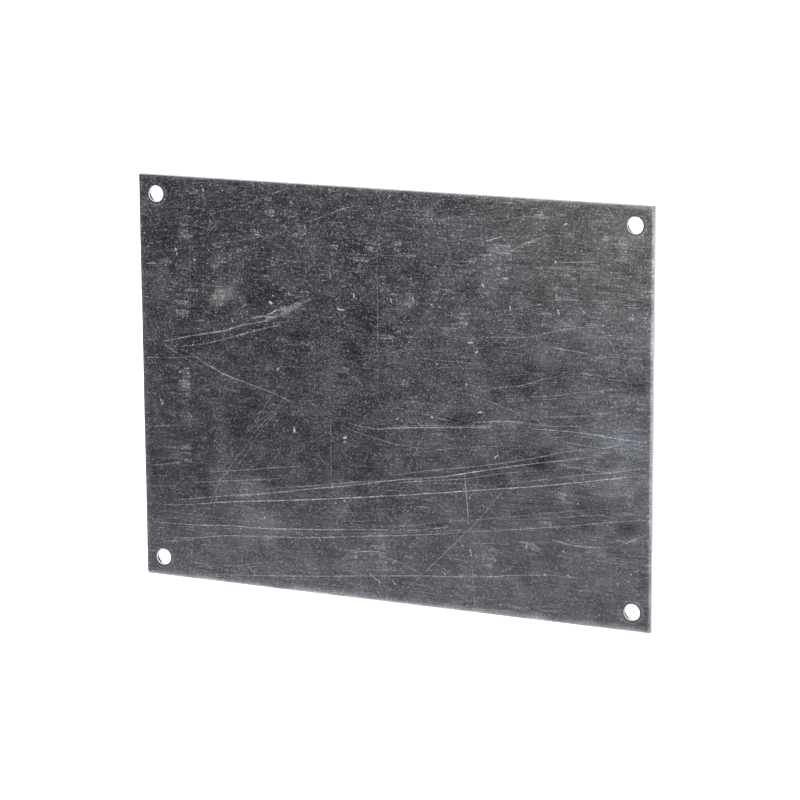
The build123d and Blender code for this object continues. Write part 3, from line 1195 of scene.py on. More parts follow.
# The long scratches, from the upper left of the plate to its foot, in millimetres
SCRATCHES = (
    # The arrow head at the left and the long wipe that leaves it
    Scratch(((-92.5, 13.4), (-78.6, 16.8), (-65.7, 19.6), (-59, 22), (-50.5, 24), (-44.8, 25.9)), 0.62, 0.52),
    Scratch(
        ((-85, 12.1), (-72, 14.6), (-62, 17.7), (-54, 20.2), (-45.5, 22.8), (-42, 23.8)),
        0.6, 0.44, 2, 0.8,
    ),
    # The wipe's feathered end, stroke by stroke
    Scratch(((-56, 24.4), (-53, 25.4), (-49.5, 26.2), (-47, 27.2), (-44.5, 28.7), (-42, 29.5)), 0.8, 0.6),
    Scratch(
        ((-45, 28.5), (-42, 29.5), (-39.5, 30), (-36, 31.2), (-33, 32.7), (-29.5, 34.3)),
        0.75, 0.48, 3, 0.9,
    ),
    Scratch(((-50, 25.6), (-45.5, 26.1), (-44, 26.6)), 0.95, 0.5),
    Scratch(((-45.5, 27.7), (-43, 28.9), (-38, 29.4), (-35, 29.8), (-32.5, 30)), 0.7, 0.42, 2, 0.6),
    Scratch(((-44.8, 29.2), (-41, 30.3), (-38, 30.1), (-35, 31.2), (-31.8, 30.8)), 0.5, 0.36),
    Scratch(((-43.6, 27), (-41, 27.8), (-39, 28.4)), 1.0, 0.34),
    Scratch(((-44, 27.6), (-40, 28.7), (-37.5, 29.9), (-33.5, 31.6)), 1.3, 0.26),
    Scratch(((-43, 26.8), (-40, 26.6), (-36.8, 27.1)), 0.8, 0.28, 2, 1.2),
    Scratch(((-41.5, 29.2), (-38.5, 30.8), (-35, 32.6), (-32, 33.6)), 0.8, 0.34),
    Scratch(((-37.6, 33.3), (-35.4, 34.3), (-33.6, 34.4)), 0.5, 0.36),
    Scratch(((-34, 33.8), (-31.5, 34.1), (-26, 34.1)), 0.45, 0.32),
    Scratch(((-38, 32.3), (-34, 32.3), (-30, 33.2)), 0.45, 0.32, 2, 0.6),
    Scratch(((-35.2, 36), (-33, 36.3), (-30.6, 36.2)), 0.5, 0.42),
    Scratch(((-29, 32.5), (-26, 32.2)), 0.45, 0.28),
    Scratch(((-46, 24), (-42, 24.8), (-38.5, 25.4)), 0.5, 0.24, 2, 1.0),
    Scratch(((-37, 18), (-34.6, 17.6), (-31, 16.6)), 0.35, 0.45),
    Scratch(((-92.5, 13.2), (-86.8, 10.4), (-75.7, 5.4)), 0.35, 0.42),
    Scratch(
        ((-85, 12.1), (-78.6, 9.3), (-66.4, 3.6), (-53.6, 0), (-45.7, -2.1), (-36.4, -5.4)),
        0.45, 0.5, 2, 0.6,
    ),
    Scratch(((-100, 7), (-86, 8), (-78, 9.3)), 0.45, 0.34),
    # The upper part
    Scratch(
        ((-99.5, 56.1), (-87.9, 58.7), (-71.4, 62.1), (-57.1, 66.1), (-44.3, 71.4), (-37, 73.9)),
        0.26, 0.3,
    ),
    Scratch(((-99.5, 45.7), (-86.4, 48), (-60, 52.9), (-42.9, 56.3)), 0.28, 0.3),
    Scratch(((-47, 70), (-43, 71.7), (-37, 73.9)), 0.36, 0.46),
    Scratch(((-99, 42), (-89, 43)), 0.6, 0.46),
    Scratch(((-33, 61.1), (-28.7, 62.5), (-18.7, 66.6), (-10.9, 68.9)), 0.38, 0.46, 2, 0.5),
    Scratch(((-3.7, 65.7), (5.6, 68.6)), 0.42, 0.5),
    Scratch(((34, 64.9), (45.4, 67.1), (52.6, 68.6), (60, 69), (68, 70)), 0.34, 0.26),
    Scratch(((54.8, 69.4), (60.4, 69.6)), 0.55, 0.6),
    Scratch(((56.4, 68.3), (61.2, 68.7)), 0.5, 0.5),
    Scratch(((36.5, 58.7), (44.7, 61.4)), 0.36, 0.66),
    Scratch(((56.3, 34.9), (59, 35.1), (63, 35.4)), 0.5, 0.55),
    Scratch(((44.7, 54.3), (51.1, 58.7), (59.7, 62.1), (65.4, 63.2)), 0.5, 0.3, 3, 1.0),
    Scratch(((34, 54), (43, 54.6)), 0.36, 0.55, 2, 0.8),
    Scratch(((63.6, 53.4), (70, 53.9), (78.3, 54.4)), 0.38, 0.48),
    Scratch(((64.2, 50.7), (70, 51.5), (77.4, 52.1)), 0.36, 0.36),
    # The right part
    Scratch(
        ((34, 24.6), (41.4, 25.4), (52.9, 26.4), (61.4, 28.6), (71.4, 31.1), (76, 31.5)),
        0.36, 0.34, 2, 0.8,
    ),
    Scratch(((61.2, 23.8), (66, 23.2), (76, 22.4)), 0.4, 0.42),
    Scratch(((34.5, 5), (41.9, 7.5), (50.4, 8.9), (57.6, 11.4), (67.6, 14.3)), 0.32, 0.44),
    Scratch(((43.3, 3.6), (62.6, 6.4), (74, 8.6), (94, 11.8), (99, 12.6)), 0.3, 0.33),
    Scratch(((28, 4.4), (34, 3.6), (40.4, 2.1), (45.4, 0.4), (51, -1.2)), 0.3, 0.4),
    Scratch(((50, -2.2), (66.5, -0.6), (79.7, 1.4), (85, 2.6), (99.3, 6)), 0.28, 0.27, 2, 0.6),
    Scratch(((91, 17), (99, 18.6)), 0.25, 0.25),
    Scratch(((92.5, 24.3), (99, 25.4)), 0.25, 0.25),
    # Upright marks of the rolled sheet's seams
    Scratch(((-4.1, 67.9), (-4.2, 1.4)), 0.32, 0.3, 2, 0.15),
    Scratch(((-23.2, -9.3), (-23.2, -33.2)), 0.3, 0.4, 2, 0.15),
    Scratch(((29.3, -23.9), (29.9, -30), (31.1, -43.9)), 0.36, 0.55),
    Scratch(((31.4, -51.2), (32.1, -54.8)), 0.5, 0.62),
    Scratch(((32.1, -54.6), (32.7, -65), (33.4, -73.6)), 0.25, 0.3),
    Scratch(((-79.5, 56), (-79.6, 20)), 0.3, 0.22),
    # Slanting hair scratches
    Scratch(
        ((-78.9, -53.9), (-73.2, -46.1), (-69.3, -37.9), (-64.6, -31.4), (-58.6, -23.6), (-52.9, -15.7)),
        0.28, 0.34,
    ),
    Scratch(((-56, -20), (-52.9, -15.7), (-46.4, -9.3), (-42.8, -4.6), (-38.8, 1)), 0.3, 0.36),
    Scratch(
        ((-62.1, -22.1), (-55.4, -15.4), (-52.5, -11.1), (-48.9, -5.7), (-44.3, 0.3), (-40.2, 6)),
        0.28, 0.34,
    ),
    Scratch(
        ((-63, -32), (-59.3, -27.5), (-56.4, -23.6), (-51.8, -16.4), (-44.3, -8.2), (-41, -4)),
        0.28, 0.32,
    ),
    Scratch(
        ((2.7, -72.9), (11.3, -64.6), (22, -53.9), (34.9, -40.7), (44.7, -28.6), (52.6, -19.6)),
        0.3, 0.36,
    ),
    Scratch(((13.4, -12.1), (6.3, -26.4)), 0.3, 0.32),
    Scratch(((99, 5), (60, -8), (58, -12)), 0.2, 0.1),
    Scratch(((-99.5, -6), (-95, -1.5)), 0.25, 0.25, 2, 1.0),
    # The bent pair left of the middle and its long run to the right side
    Scratch(
        ((-17.3, -10), (-12.3, -10.9), (-4.4, -11.4), (2.7, -10.4), (22.7, -8.4), (40.4, -6.6)),
        0.4, 0.58,
    ),
    Scratch(((-2.3, -10.7), (11.3, -8.7), (22.7, -7.9), (41, -6)), 0.3, 0.36),
    Scratch(
        ((-18, -11.8), (-11.6, -13.6), (-4.4, -15), (2.7, -16.4), (11.3, -16.8), (17, -16.6)),
        0.32, 0.42,
    ),
    Scratch(((17, -5.4), (22.7, -5.7), (28.4, -6.6)), 0.3, 0.5),
    Scratch(((30, -6.4), (40.4, -4.6), (48.3, -4.1), (58.3, -4.3), (65.4, -4.3), (76.9, -2.9)), 0.35, 0.43),
    Scratch(((51.9, -6.1), (68.3, -5.7), (79.7, -6.1), (89.7, -6.8), (99.4, -7)), 0.35, 0.52),
    Scratch(((61.1, -8.9), (68.3, -7.5)), 0.3, 0.4),
    Scratch(((79.7, -11.1), (85.4, -9.6), (89.7, -8.2)), 0.36, 0.3),
    # The sheaf of long scratches across the lower half
    Scratch(((-99.5, -19.1), (-84.3, -17)), 0.35, 0.5),
    Scratch(((-99.5, -33.9), (-83.6, -31)), 0.42, 0.45),
    Scratch(((-80, -34.6), (-64.3, -32.5), (-46.4, -29.6), (-32, -27.5)), 0.34, 0.45),
    Scratch(((-83.6, -38.9), (-65.7, -36.4), (-50, -34.3), (-38.6, -32.5)), 0.32, 0.42),
    Scratch(((-89.6, -46.3), (-79.3, -44.3), (-66.4, -42.1), (-60, -41)), 0.4, 0.4),
    Scratch(((-67, -42), (-60, -41), (-52, -39.8), (-45, -38.4)), 0.42, 0.3),
    Scratch(
        (
            (-67, -42.2), (-55.7, -40.7), (-32, -36.1), (-14.4, -33),
            (2.7, -29.4), (21.3, -26.3), (48.3, -20), (79.7, -13.6),
        ),
        0.42, 0.62,
    ),
    Scratch(((-50.7, -37.9), (-32, -35), (-14, -31.8), (0, -30)), 0.34, 0.45, 4, 1.8),
    Scratch(
        ((-1.6, -28.6), (9.9, -25.9), (22, -23.6), (34, -21.4), (51.9, -17.5), (68.3, -12.9), (79.7, -11.1)),
        0.32, 0.46,
    ),
    Scratch(((1.3, -30.7), (12.7, -28.9), (29.1, -26.4), (44.7, -22.9), (62.6, -20)), 0.3, 0.46),
    Scratch(((-30, -34.8), (-12, -32.4), (8, -28.6), (30, -25)), 0.28, 0.24, 4, 2.4),
    Scratch(
        (
            (-95.7, -48.2), (-81.4, -46.8), (-65.7, -44.3), (-33, -40.2),
            (4.1, -34.9), (34, -30.1), (62.6, -25.4), (99.4, -18.2),
        ),
        0.44, 0.6,
    ),
    Scratch(((34, -28.9), (55.4, -24.6), (74, -20.7), (84, -18.9), (99, -15.6)), 0.28, 0.33, 2, 0.5),
    Scratch(((5.6, -37.5), (9.1, -37.5)), 0.3, 0.35),
    Scratch(((9, -38.6), (13, -38.3), (17.4, -38.7)), 0.4, 0.4),
    Scratch(((61, -30.7), (68.3, -31.1), (74, -29.6)), 0.25, 0.3),
    # The foot of the plate
    Scratch(((-99.5, -50.9), (-84, -50.5), (-57, -50.9)), 0.25, 0.28, 2, 0.6),
    Scratch(
        (
            (-99.5, -55.1), (-79.3, -54.4), (-64.3, -53.2), (-50, -52.7),
            (-23.7, -50.4), (-4.4, -48.4), (4.1, -48),
        ),
        0.45, 0.5,
    ),
    Scratch(((4.1, -48), (14.1, -46.4), (24.1, -44.3)), 0.36, 0.44, 3, 1.2),
    Scratch(
        (
            (-18.7, -48.6), (7, -45.7), (21.3, -42.9), (34.9, -40.7),
            (48.3, -38.2), (68.3, -34.3), (99.4, -29.3),
        ),
        0.26, 0.28,
    ),
    Scratch(((14, -43.6), (34, -39.5), (48.3, -39.3), (79.7, -34.3), (99.4, -30.7)), 0.26, 0.18, 3, 1.6),
    Scratch(
        ((-99.5, -61), (-80, -59.4), (-65.7, -57.1), (-33, -54.4), (-11.6, -51.6), (9.9, -48.9), (34.9, -45)),
        0.42, 0.48,
    ),
    Scratch(
        ((23, -46.8), (34.9, -45), (48.3, -42.9), (62.6, -40.6), (74, -38.6), (86.9, -36.1), (99.4, -34.3)),
        0.35, 0.4,
    ),
    Scratch(((-60, -54.8), (-33, -52.7), (-8, -50), (14, -47.3), (36, -43.9)), 0.26, 0.26, 2, 0.8),
    Scratch(((-97.9, -63.7), (-88.6, -61.4), (-79.3, -59.9)), 0.32, 0.36),
    Scratch(
        ((-76.4, -73), (-60, -71.4), (-32, -68.7), (7, -64.3), (34.9, -61.6), (48.3, -59.6), (65.4, -57.5)),
        0.34, 0.47,
    ),
    Scratch(((34, -70.7), (44.7, -68.6), (51, -69)), 0.22, 0.12, 2, 1.0),
    Scratch(((61.9, -45.4), (67.6, -46.1), (78.3, -46.1), (86.9, -45)), 0.32, 0.42, 2, 0.6),
    Scratch(((61.6, -44.8), (65, -45.4), (69.8, -46.4)), 0.6, 0.42, 2, 0.6),
    Scratch(((86.9, -45), (92.6, -42.5), (96.1, -40.7), (99.4, -38.6)), 0.4, 0.32, 3, 1.4),
    Scratch(((-21.9, -64.3), (-21.2, -62.5), (-18.7, -60.7), (-14.4, -59.6)), 0.34, 0.2),
    Scratch(((-14.6, -58.1), (-12.3, -57.4), (-5.9, -56.7), (-0.8, -56.5)), 0.34, 0.42),
    Scratch(((-6.8, -56.3), (-3, -57.7), (3.6, -59.6), (7.5, -60.9), (10, -61.9), (11.8, -63.2)), 0.32, 0.36),
    Scratch(((-59, -66), (-56.5, -68.6), (-53, -72)), 0.3, 0.32, 2, 0.8),
    Scratch(((-9, -64.3), (-6.4, -66.5), (-2.8, -68.4)), 0.38, 0.75),
    Scratch(((0.7, -66.2), (1.7, -67.6), (2.9, -68.3)), 0.45, 0.8),
)

# The brightest nicks, each with its own slant, in millimetres
NICKS = (
    Scratch(((-85.9, 48.2), (-84.7, 47.9)), 1.1, 1.0),
    Scratch(((-85.2, 46.9), (-84.4, 46.4)), 0.85, 0.9),
    Scratch(((-78.2, 45.2), (-77, 44.5)), 0.9, 0.7),
    Scratch(((-93.3, -8), (-91.9, -9)), 0.95, 0.7),
    Scratch(((-62.8, 23.8), (-62, 22.8)), 0.75, 0.8),
    Scratch(((-73.6, 71.4), (-73.3, 69.9)), 0.9, 0.7),
    Scratch(((-38, 69), (-38.1, 67.4)), 0.6, 0.7),
    Scratch(((-47.3, 31.9), (-46, 30.6)), 1.1, 1.1),
    Scratch(((-45.9, 34.2), (-45.4, 33.4)), 0.6, 0.95),
    Scratch(((-44.9, 6.7), (-43.3, 7.7)), 0.9, 0.9),
    Scratch(((-23.2, 74), (-21.6, 72.9)), 0.85, 0.75),
    Scratch(((-17, 71.4), (-14.8, 72.8)), 0.35, 0.5),
    Scratch(((-0.5, 71.3), (1.6, 73.2)), 0.35, 0.5),
    Scratch(((-13.3, 37.4), (-13.5, 34.9)), 0.7, 0.8),
    Scratch(((-20.8, 31.6), (-18.8, 30.7), (-16.6, 31.1)), 0.75, 0.75),
    Scratch(((0.8, 36.6), (1.5, 34.3)), 0.6, 0.85),
    Scratch(((16.7, 35.6), (17.2, 34.6)), 0.7, 0.8),
    Scratch(((19.5, 34.6), (20.3, 34.4)), 0.7, 0.7),
    Scratch(((29.7, 8), (30.7, 7.7)), 0.85, 0.7),
    Scratch(((33.6, 19), (34.6, 20.1)), 0.85, 0.75),
    Scratch(((30.4, 22.6), (33.2, 22.9)), 0.65, 0.8),
    Scratch(((35.8, 44.3), (37.2, 42.5)), 0.55, 0.8),
    Scratch(((43.5, 46.9), (44.7, 46.5), (46.8, 46.4)), 0.6, 0.75),
    Scratch(((46.7, 37.1), (47.2, 34.9)), 0.6, 0.9),
    Scratch(((64.5, 37.5), (65.4, 35)), 0.6, 0.8),
    Scratch(((64.2, 43), (64.3, 40)), 0.4, 0.5),
    Scratch(((74.1, 37.4), (74.6, 36)), 0.4, 0.55),
    Scratch(((66.5, 66.5), (68.4, 67.2)), 0.65, 0.8),
    Scratch(((45.7, 25.3), (46.3, 24.4)), 0.55, 0.5),
    Scratch(((63.5, 53.4), (64.5, 53.8)), 0.65, 1.0),
    Scratch(((96.7, 38.7), (98, 37.5)), 0.4, 0.6),
    Scratch(((-37.9, -13.2), (-37.8, -16.6)), 0.7, 0.9),
    Scratch(((-18.4, -16.1), (-16.7, -15.4)), 0.95, 0.95),
    Scratch(((-66.5, -32.7), (-65.4, -33.5)), 0.7, 0.7),
    Scratch(((-50.9, -48.2), (-50.1, -48.9)), 0.6, 0.75),
    Scratch(((-18.4, -38.8), (-17.4, -39.4)), 0.85, 0.7),
    Scratch(((-28.3, -53.9), (-27.6, -55.4)), 0.6, 0.5),
    Scratch(((16.3, -5.1), (17.4, -5.3)), 0.95, 0.85),
    Scratch(((29.2, -10.3), (29.8, -11.8)), 0.6, 0.5),
    Scratch(((41.2, -18.4), (41.2, -17.4), (42.8, -16.4)), 0.65, 0.65),
    Scratch(((34, -2.1), (37, -1.5)), 0.55, 0.9),
    Scratch(((52.6, -48.6), (53.6, -49.3)), 0.65, 0.6),
    Scratch(((68.3, -57.2), (69.8, -57.7), (70, -58.4)), 0.4, 0.7),
    Scratch(((80.3, -70), (81.1, -70.6)), 0.5, 0.7),
    Scratch(((28.4, -50.2), (28.9, -51.3)), 0.55, 0.5),
    Scratch(((-92.6, -10.6), (-91.9, -8)), 0.8, 0.55),
)

# Patches of short streaks, most of them left of an upright seam, in millimetres
RUBS = (
    Rub((-82.2, 56.0), (2.6, 2.2), 8, 0.5),
    Rub((-81.5, 53.4), (4.0, 0.6), 4, 0.65),
    Rub((-83.6, 29.6), (4.0, 2.0), 7, 0.5),
    Rub((-83.6, 24.3), (4.0, 1.6), 9, 0.6),
    Rub((-83.5, 38.0), (4.0, 4.0), 9, 0.25),
    Rub((-82.8, 3.0), (3.2, 1.6), 6, 0.6),
    Rub((-83.2, -1.2), (3.4, 2.2), 10, 0.7),
    Rub((-82.2, -4.6), (2.4, 1.4), 4, 0.45),
    Rub((-83.5, -12.5), (4.0, 5.0), 8, 0.28),
    Rub((-83.0, -27.0), (3.4, 3.8), 12, 0.5),
    Rub((-82.3, -56.5), (2.8, 1.5), 6, 0.35),
    Rub((-58.7, 49.8), (3.0, 0.8), 4, 0.5),
    Rub((-68.2, 50.3), (2.8, 0.4), 2, 0.6),
    Rub((-68.0, 45.0), (3.0, 2.2), 11, 0.45),
    Rub((-69.8, 42.7), (2.0, 0.4), 2, 0.5),
    Rub((-90.5, 43.0), (4.5, 1.2), 6, 0.4),
    Rub((-79.5, 33.6), (4.5, 0.5), 3, 0.6),
    Rub((-52.8, 56.0), (3.0, 0.7), 3, 0.65),
    Rub((-42.5, 52.0), (1.8, 0.5), 2, 0.5),
    Rub((-47.0, 64.0), (3.0, 1.3), 6, 0.35),
    Rub((-35.0, 58.5), (3.5, 2.0), 9, 0.35),
    Rub((-71.0, 57.5), (3.5, 1.5), 6, 0.3),
    Rub((-73.0, 26.0), (2.3, 0.5), 2, 0.45),
    Rub((-21.4, 53.4), (2.8, 0.5), 3, 0.65),
    Rub((-22.2, 50.7), (2.3, 0.5), 2, 0.45),
    Rub((-11.0, 49.3), (4.5, 0.8), 6, 0.4),
    Rub((-13.5, 44.7), (5.0, 0.4), 3, 0.45),
    Rub((-7.6, 55.5), (3.2, 0.8), 4, 0.45),
    Rub((-8.0, 53.5), (2.5, 0.6), 3, 0.4),
    Rub((3.4, 56.1), (2.3, 0.5), 3, 0.7),
    Rub((2.8, 53.8), (2.4, 0.6), 4, 0.5),
    Rub((8.8, 52.0), (2.6, 0.5), 4, 0.55),
    Rub((-2.3, 44.0), (1.5, 0.6), 3, 0.4),
    Rub((15.0, 67.0), (3.5, 3.0), 14, 0.32),
    Rub((25.0, 60.0), (2.5, 2.0), 6, 0.25),
    Rub((8.0, 36.7), (2.8, 2.2), 14, 0.42),
    Rub((9.0, 42.0), (1.5, 1.0), 3, 0.4),
    Rub((32.0, 52.0), (2.5, 0.8), 4, 0.45),
    Rub((29.0, 48.5), (5.0, 0.6), 4, 0.4),
    Rub((18.0, 39.8), (2.0, 0.4), 2, 0.5),
    Rub((6.0, 5.5), (2.5, 2.0), 8, 0.3),
    Rub((-1.0, 22.3), (4.0, 0.8), 4, 0.35),
    Rub((27.0, 31.0), (3.0, 2.0), 6, 0.3),
    Rub((57.5, 69.0), (3.0, 0.6), 4, 0.7),
    Rub((57.5, 70.4), (2.3, 0.4), 2, 0.5),
    Rub((65.0, 69.9), (3.3, 0.4), 3, 0.4),
    Rub((42.0, 56.5), (6.0, 2.0), 9, 0.35),
    Rub((56.8, 50.9), (2.8, 0.4), 3, 0.45),
    Rub((63.2, 49.3), (1.4, 0.3), 1, 0.6),
    Rub((72.0, 51.5), (9.0, 1.0), 9, 0.3),
    Rub((59.8, 35.2), (3.6, 0.4), 4, 0.4),
    Rub((91.5, 35.8), (2.0, 0.5), 3, 0.5),
    Rub((87.5, 59.5), (3.5, 4.0), 18, 0.32),
    Rub((81.0, 66.0), (1.5, 4.0), 8, 0.25),
    Rub((91.0, 42.0), (4.0, 3.0), 6, 0.3),
    Rub((78.0, 33.0), (5.0, 3.0), 10, 0.25),
    Rub((-5.0, -55.0), (4.0, 0.5), 5, 0.5),
    Rub((-3.2, -58.0), (2.8, 1.4), 6, 0.42),
    Rub((-3.8, -61.6), (3.2, 1.8), 9, 0.34),
    Rub((-16.0, -58.4), (4.0, 1.6), 8, 0.32),
    Rub((7.2, -57.5), (2.4, 0.7), 4, 0.4),
    Rub((38.5, -54.7), (4.0, 0.5), 4, 0.36),
    Rub((38.0, -57.0), (2.6, 0.5), 4, 0.42),
    Rub((40.0, -51.5), (3.0, 0.7), 5, 0.36),
    Rub((52.0, -47.0), (2.8, 0.4), 3, 0.4),
    Rub((56.6, -49.0), (2.8, 0.5), 4, 0.36),
    Rub((64.0, -55.0), (1.5, 1.0), 4, 0.35),
    Rub((37.0, -6.8), (3.0, 0.4), 2, 0.4),
    Rub((59.5, -39.3), (4.0, 0.5), 5, 0.3),
    Rub((66.0, -29.0), (2.5, 1.5), 6, 0.3),
    Rub((-52.0, -56.3), (4.0, 1.2), 8, 0.3),
    Rub((-4.8, -54.9), (2.6, 0.4), 3, 0.4),
    Rub((7.3, -57.1), (1.8, 0.4), 2, 0.4),
    Rub((-75.0, -20.5), (2.0, 1.5), 4, 0.3),
    Rub((54.5, -48.0), (2.5, 1.2), 6, 0.4),
    Rub((91.0, -27.5), (3.0, 4.0), 14, 0.22),
    Rub((-62.0, -66.0), (3.0, 4.0), 12, 0.2),
)


@dataclass(frozen=True)
class RandomMarks:
    """Draws the plate's many small marks, the same ones on every run."""

    seed: int = 7
    reach_mm: Point = (98.0, 73.0)
    # Further strands: where they start and how long they are, as shares of the path, and
    # their bareness and width as shares of the first strand's
    strand_start: Point = (0.0, 0.6)
    strand_length: Point = (0.25, 0.6)
    strand_bare: Point = (0.5, 1.0)
    strand_width: Point = (0.6, 1.0)
    # Streaks of the rubs: their width, and their bareness as a share of the rub's
    streak_width_mm: Point = (0.35, 0.75)
    bright_streak: Point = (0.55, 1.0)
    faint_streak: Point = (0.2, 0.5)
    speck_count: int = 90
    speck_width_mm: Point = (0.35, 0.6)
    speck_bare: Point = (0.3, 0.8)
    hairline_count: int = 240
    hairline_width_mm: Point = (0.14, 0.25)
    hairline_bare: Point = (0.13, 0.36)

    def stranded(self, scratches: Sequence[Scratch]) -> list[Scratch]:
        """The scratches, with each one's further strands beside it.

        Args:
            scratches: Scratches with their numbers of strands.

        Returns:
            Single scratches. A further strand covers a random part of the path.
        """
        draw = np.random.default_rng(self.seed)
        marks = []
        for scratch in scratches:
            marks.append(scratch)
            for _ in range(scratch.strands - 1):
                start = draw.uniform(*self.strand_start)
                length = draw.uniform(*self.strand_length)
                shift = draw.uniform(-0.5, 0.5) * scratch.spread_mm
                bare = scratch.bare * draw.uniform(*self.strand_bare)
                width = scratch.width_mm * draw.uniform(*self.strand_width)
                part = (start, min(1.0, start + length))
                marks.append(Scratch(scratch.path_mm, width, bare, shift_mm=shift, part=part))
        return marks

    def rubbed(self, rubs: Sequence[Rub]) -> list[Scratch]:
        """The short streaks of all rubbed patches, each one level within two degrees or so.

        The streaks begin anywhere in the left part of a patch, and most end close to its
        right side, where a seam of the rolled sheet stopped the rub. Each bright streak has
        a faint one for company.
        """
        draw = np.random.default_rng(self.seed + 1)
        marks = []
        for rub in rubs:
            (x, y), (half_x, half_y) = rub.centre_mm, rub.half_size_mm
            for number in range(2 * rub.count):
                left = x - half_x * draw.uniform(0.0, 1.0)
                right = x + half_x * draw.uniform(0.5, 1.0) ** 0.5
                level = y + half_y * draw.uniform(-1, 1)
                rise = 0.04 * (right - left) * draw.uniform(-0.5, 1.0)
                path = ((left, level), (right, level + rise))
                share = draw.uniform(*(self.faint_streak if number % 2 else self.bright_streak))
                marks.append(Scratch(path, draw.uniform(*self.streak_width_mm), rub.bare * share))
        return marks

    def specks(self) -> list[Scratch]:
        """Small bright dents all over the face."""
        draw = np.random.default_rng(self.seed + 2)
        marks = []
        for _ in range(self.speck_count):
            x, y = draw.uniform(-1, 1, 2) * self.reach_mm
            dx, dy = draw.uniform(-0.5, 0.5, 2)
            path = ((x - dx, y - dy), (x + dx, y + dy))
            width = draw.uniform(*self.speck_width_mm)
            marks.append(Scratch(path, width, draw.uniform(*self.speck_bare)))
        return marks

    def hairlines(self) -> list[Scratch]:
        """Faint hairlines, most of them near the direction in which the sheet was rolled.

        Half their length is 1.5 mm and a random rest, 7 mm on average. They slant by
        5 degrees on average, and a slight bend grows with their length.
        """
        draw = np.random.default_rng(self.seed + 3)
        marks = []
        limit = np.array(self.reach_mm)
        for _ in range(self.hairline_count):
            middle = draw.uniform(-1, 1, 2) * limit
            half = draw.gamma(2.0, 3.5) + 1.5
            slant = math.radians(draw.normal(5.0, 6.0))
            reach = half * np.array([math.cos(slant), math.sin(slant)])
            bend = np.array([0.0, draw.normal(0, 0.03) * half])
            ends = np.clip([middle - reach, middle + bend, middle + reach], -limit - 1, limit + 1)
            path = tuple((float(x), float(y)) for x, y in ends)
            width = draw.uniform(*self.hairline_width_mm)
            marks.append(Scratch(path, width, draw.uniform(*self.hairline_bare)))
        return marks


# The studio


@dataclass(frozen=True)
class Floor:
    """A pale paper floor that lies flat round the plate and curls up far away from it."""

    flat: float = 2.5
    rim: float = 4.0
    rise: float = 1.2
    drop: float = 0.05 * MM
    hub_rings: tuple[float, ...] = (0.02, 0.3, 1.0)
    outer_rings: int = 12
    spokes: int = 96
    albedo: float = 0.85
    roughness: float = 0.9
    glow: float = 1.0
    glow_reach: float = 0.9
    glow_core: float = 0.6

    def build(self) -> bpy.types.Object:
        """Makes the floor: a profile turned about Z.

        Beyond the flat part the height is rise * u * u, with u from 0 to 1 up to the rim.
        """
        reach = np.concatenate([self.hub_rings, np.linspace(self.flat, self.rim, self.outer_rings)])
        share = np.clip((reach - self.flat) / (self.rim - self.flat), 0, 1)
        turn = np.linspace(0, 2 * np.pi, self.spokes + 1)[:-1]
        r, a = np.meshgrid(reach, turn, indexing="ij")
        z = np.broadcast_to((self.rise * share**2 - self.drop)[:, None], r.shape)
        points = np.stack([r * np.cos(a), r * np.sin(a), z], axis=-1).reshape(-1, 3)
        points = np.concatenate([points, [[0, 0, -self.drop]]])
        around = np.arange(len(turn))
        hub = np.stack([np.full(len(turn), len(points) - 1), around, (around + 1) % len(turn)], axis=1)
        quads = grid_faces(len(reach), len(turn), closed=True)[:, ::-1]
        floor = mesh_piece("floor", points, [quads, hub])
        floor.data.materials.append(self.material())
        return floor

    def material(self) -> bpy.types.Material:
        """Matt white paper on a light table, whose light fades away from its middle."""
        g = Graph("pale paper")
        tone = (self.albedo, self.albedo, self.albedo, 1.0)
        reach = self.glow_reach / MM
        spot = g.spot(g.place_mm(), (0.0, 0.0), (reach, reach))
        glow = g.times(g.step(spot, 0.0, self.glow_core), self.glow)
        inputs = {"Base Color": tone, "Roughness": self.roughness, "Emission Strength": glow}
        shader = g.add("ShaderNodeBsdfPrincipled", inputs)
        shader.inputs["Emission Color"].default_value = (1, 1, 1, 1)
        g.add("ShaderNodeOutputMaterial", {"Surface": shader.outputs[0]})
        return g.material


@dataclass(frozen=True)
class Softbox:
    """A large soft square light, aimed at the middle of the plate."""

    name: str
    turn: float
    height: float
    distance: float
    size: float
    power: float
    colour: Colour = (1.0, 1.0, 1.0)

    def build(self) -> bpy.types.Object:
        """Hangs the light at its turn from +X and its height above the floor, in degrees."""
        a, e = math.radians(self.turn), math.radians(self.height)
        place = Vector((math.cos(a) * math.cos(e), math.sin(a) * math.cos(e), math.sin(e))) * self.distance
        light = bpy.data.lights.new(self.name, "AREA")
        light.shape = "SQUARE"
        light.size = self.size
        light.energy = self.power
        light.color = self.colour
        lamp = bpy.data.objects.new(self.name, light)
        lamp.location = place
        lamp.rotation_euler = (-place).to_track_quat("-Z", "Y").to_euler()
        lamp.visible_camera = False
        bpy.context.scene.collection.objects.link(lamp)
        return lamp


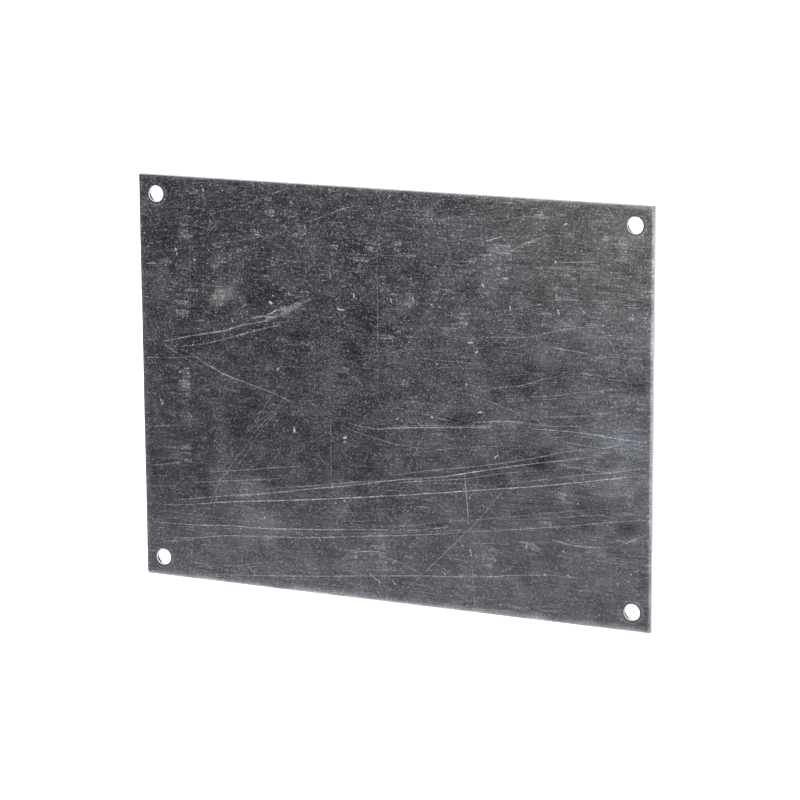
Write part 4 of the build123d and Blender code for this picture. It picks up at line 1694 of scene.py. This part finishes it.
@dataclass(frozen=True)
class Studio:
    """One large softbox overhead to the right, two low ones, and a dim room."""

    room: float = 0.42
    room_colour: Colour = (0.97, 0.98, 1.02)
    lights: tuple[Softbox, ...] = (
        Softbox("overhead softbox", -56.0, 69.0, 1.35, 0.9, 6.0),
        Softbox("right softbox", -10.0, 14.0, 1.6, 0.8, 3.5, (1.0, 0.99, 1.0)),
        Softbox("foot softbox", -85.0, 14.0, 1.6, 0.8, 4.0, (0.98, 0.98, 1.03)),
    )

    def build(self) -> None:
        """Sets the room's light and hangs the softboxes."""
        scene = bpy.context.scene
        scene.view_settings.view_transform = "Standard"
        world = bpy.data.worlds.new("dim room")
        world.use_nodes = True
        scene.world = world
        background = world.node_tree.nodes["Background"]
        background.inputs["Color"].default_value = (*self.room_colour, 1.0)
        background.inputs["Strength"].default_value = self.room
        for light in self.lights:
            light.build()
            LOG.info("light %s hung", light.name)


@dataclass(frozen=True)
class PhotoCamera:
    """The photograph's view: the plate turned, tilted and rolled before a long lens."""

    turn: float = -25.34
    tilt: float = 12.16
    roll: float = 0.366
    right: float = -4.01 * MM
    up: float = 0.45 * MM
    distance: float = 1166.7 * MM
    lens_mm: float = 147.9
    sensor_mm: float = 36.0
    clip: Point = (0.01, 20.0)

    def build(self, middle: Vector) -> bpy.types.Object:
        """Makes the camera.

        A point of the plate, counted from the middle of its front face, is turned about Y,
        then about X, then about Z, and moved right, up and away to give its place before
        the camera. The camera's own place is that motion undone.

        Args:
            middle: Middle of the plate's front face.

        Returns:
            The camera, set as the scene's own.
        """
        steps = [(self.roll, "Z"), (self.tilt, "X"), (self.turn, "Y")]
        before = Matrix.Identity(3)
        for angle, axis in steps:
            before = before @ Matrix.Rotation(math.radians(angle), 3, axis)
        moved = Vector((self.right, self.up, -self.distance))
        data = bpy.data.cameras.new("photo camera")
        data.sensor_width = self.sensor_mm
        data.lens = self.lens_mm
        data.clip_start, data.clip_end = self.clip
        camera = bpy.data.objects.new("photo camera", data)
        back = before.transposed()
        camera.matrix_world = Matrix.Translation(middle + back @ -moved) @ back.to_4x4()
        bpy.context.scene.collection.objects.link(camera)
        bpy.context.scene.camera = camera
        return camera


def hole_centres(mount: Mapping[str, Any]) -> np.ndarray:
    """Centres of the four screw holes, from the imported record's bolt pattern, in metres."""
    half_x = 0.5 * mount["dims"]["spacing_x_mm"] * MM
    half_y = 0.5 * mount["dims"]["spacing_y_mm"] * MM
    return np.array([(x, y) for y in (-half_y, half_y) for x in (-half_x, half_x)])


def main() -> None:
    """Builds the plate, its scratches, the studio and the camera, in that order."""
    logging.basicConfig(level=logging.INFO, format="%(message)s")
    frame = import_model()
    low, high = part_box(NODE)
    mount = next(m for m in frame["record"]["mounts"] if m["name"] == "screw_holes")
    sheet = Sheet(Vector(low), Vector(high), hole_centres(mount), mount["dims"]["hole_r_mm"] * MM)
    plate = sheet.build()
    LOG.info("piece %s built with %d faces", plate.name, len(plate.data.polygons))
    marks = RandomMarks()
    zinc = plate.data.materials[0]
    sets = (
        ("scratches", marks.stranded(SCRATCHES)),
        ("nicks", [*NICKS, *marks.specks()]),
        ("rubs", marks.rubbed(RUBS)),
        ("hairlines", marks.hairlines()),
    )
    for name, scratches in sets:
        piece = Scratches(name, scratches, sheet.top, zinc).build()
        LOG.info("piece %s built with %d faces", piece.name, len(piece.data.polygons))
    Floor().build()
    Studio().build()
    PhotoCamera().build(Vector((0, 0, sheet.high.z)))


if __name__ == "__main__":
    main()
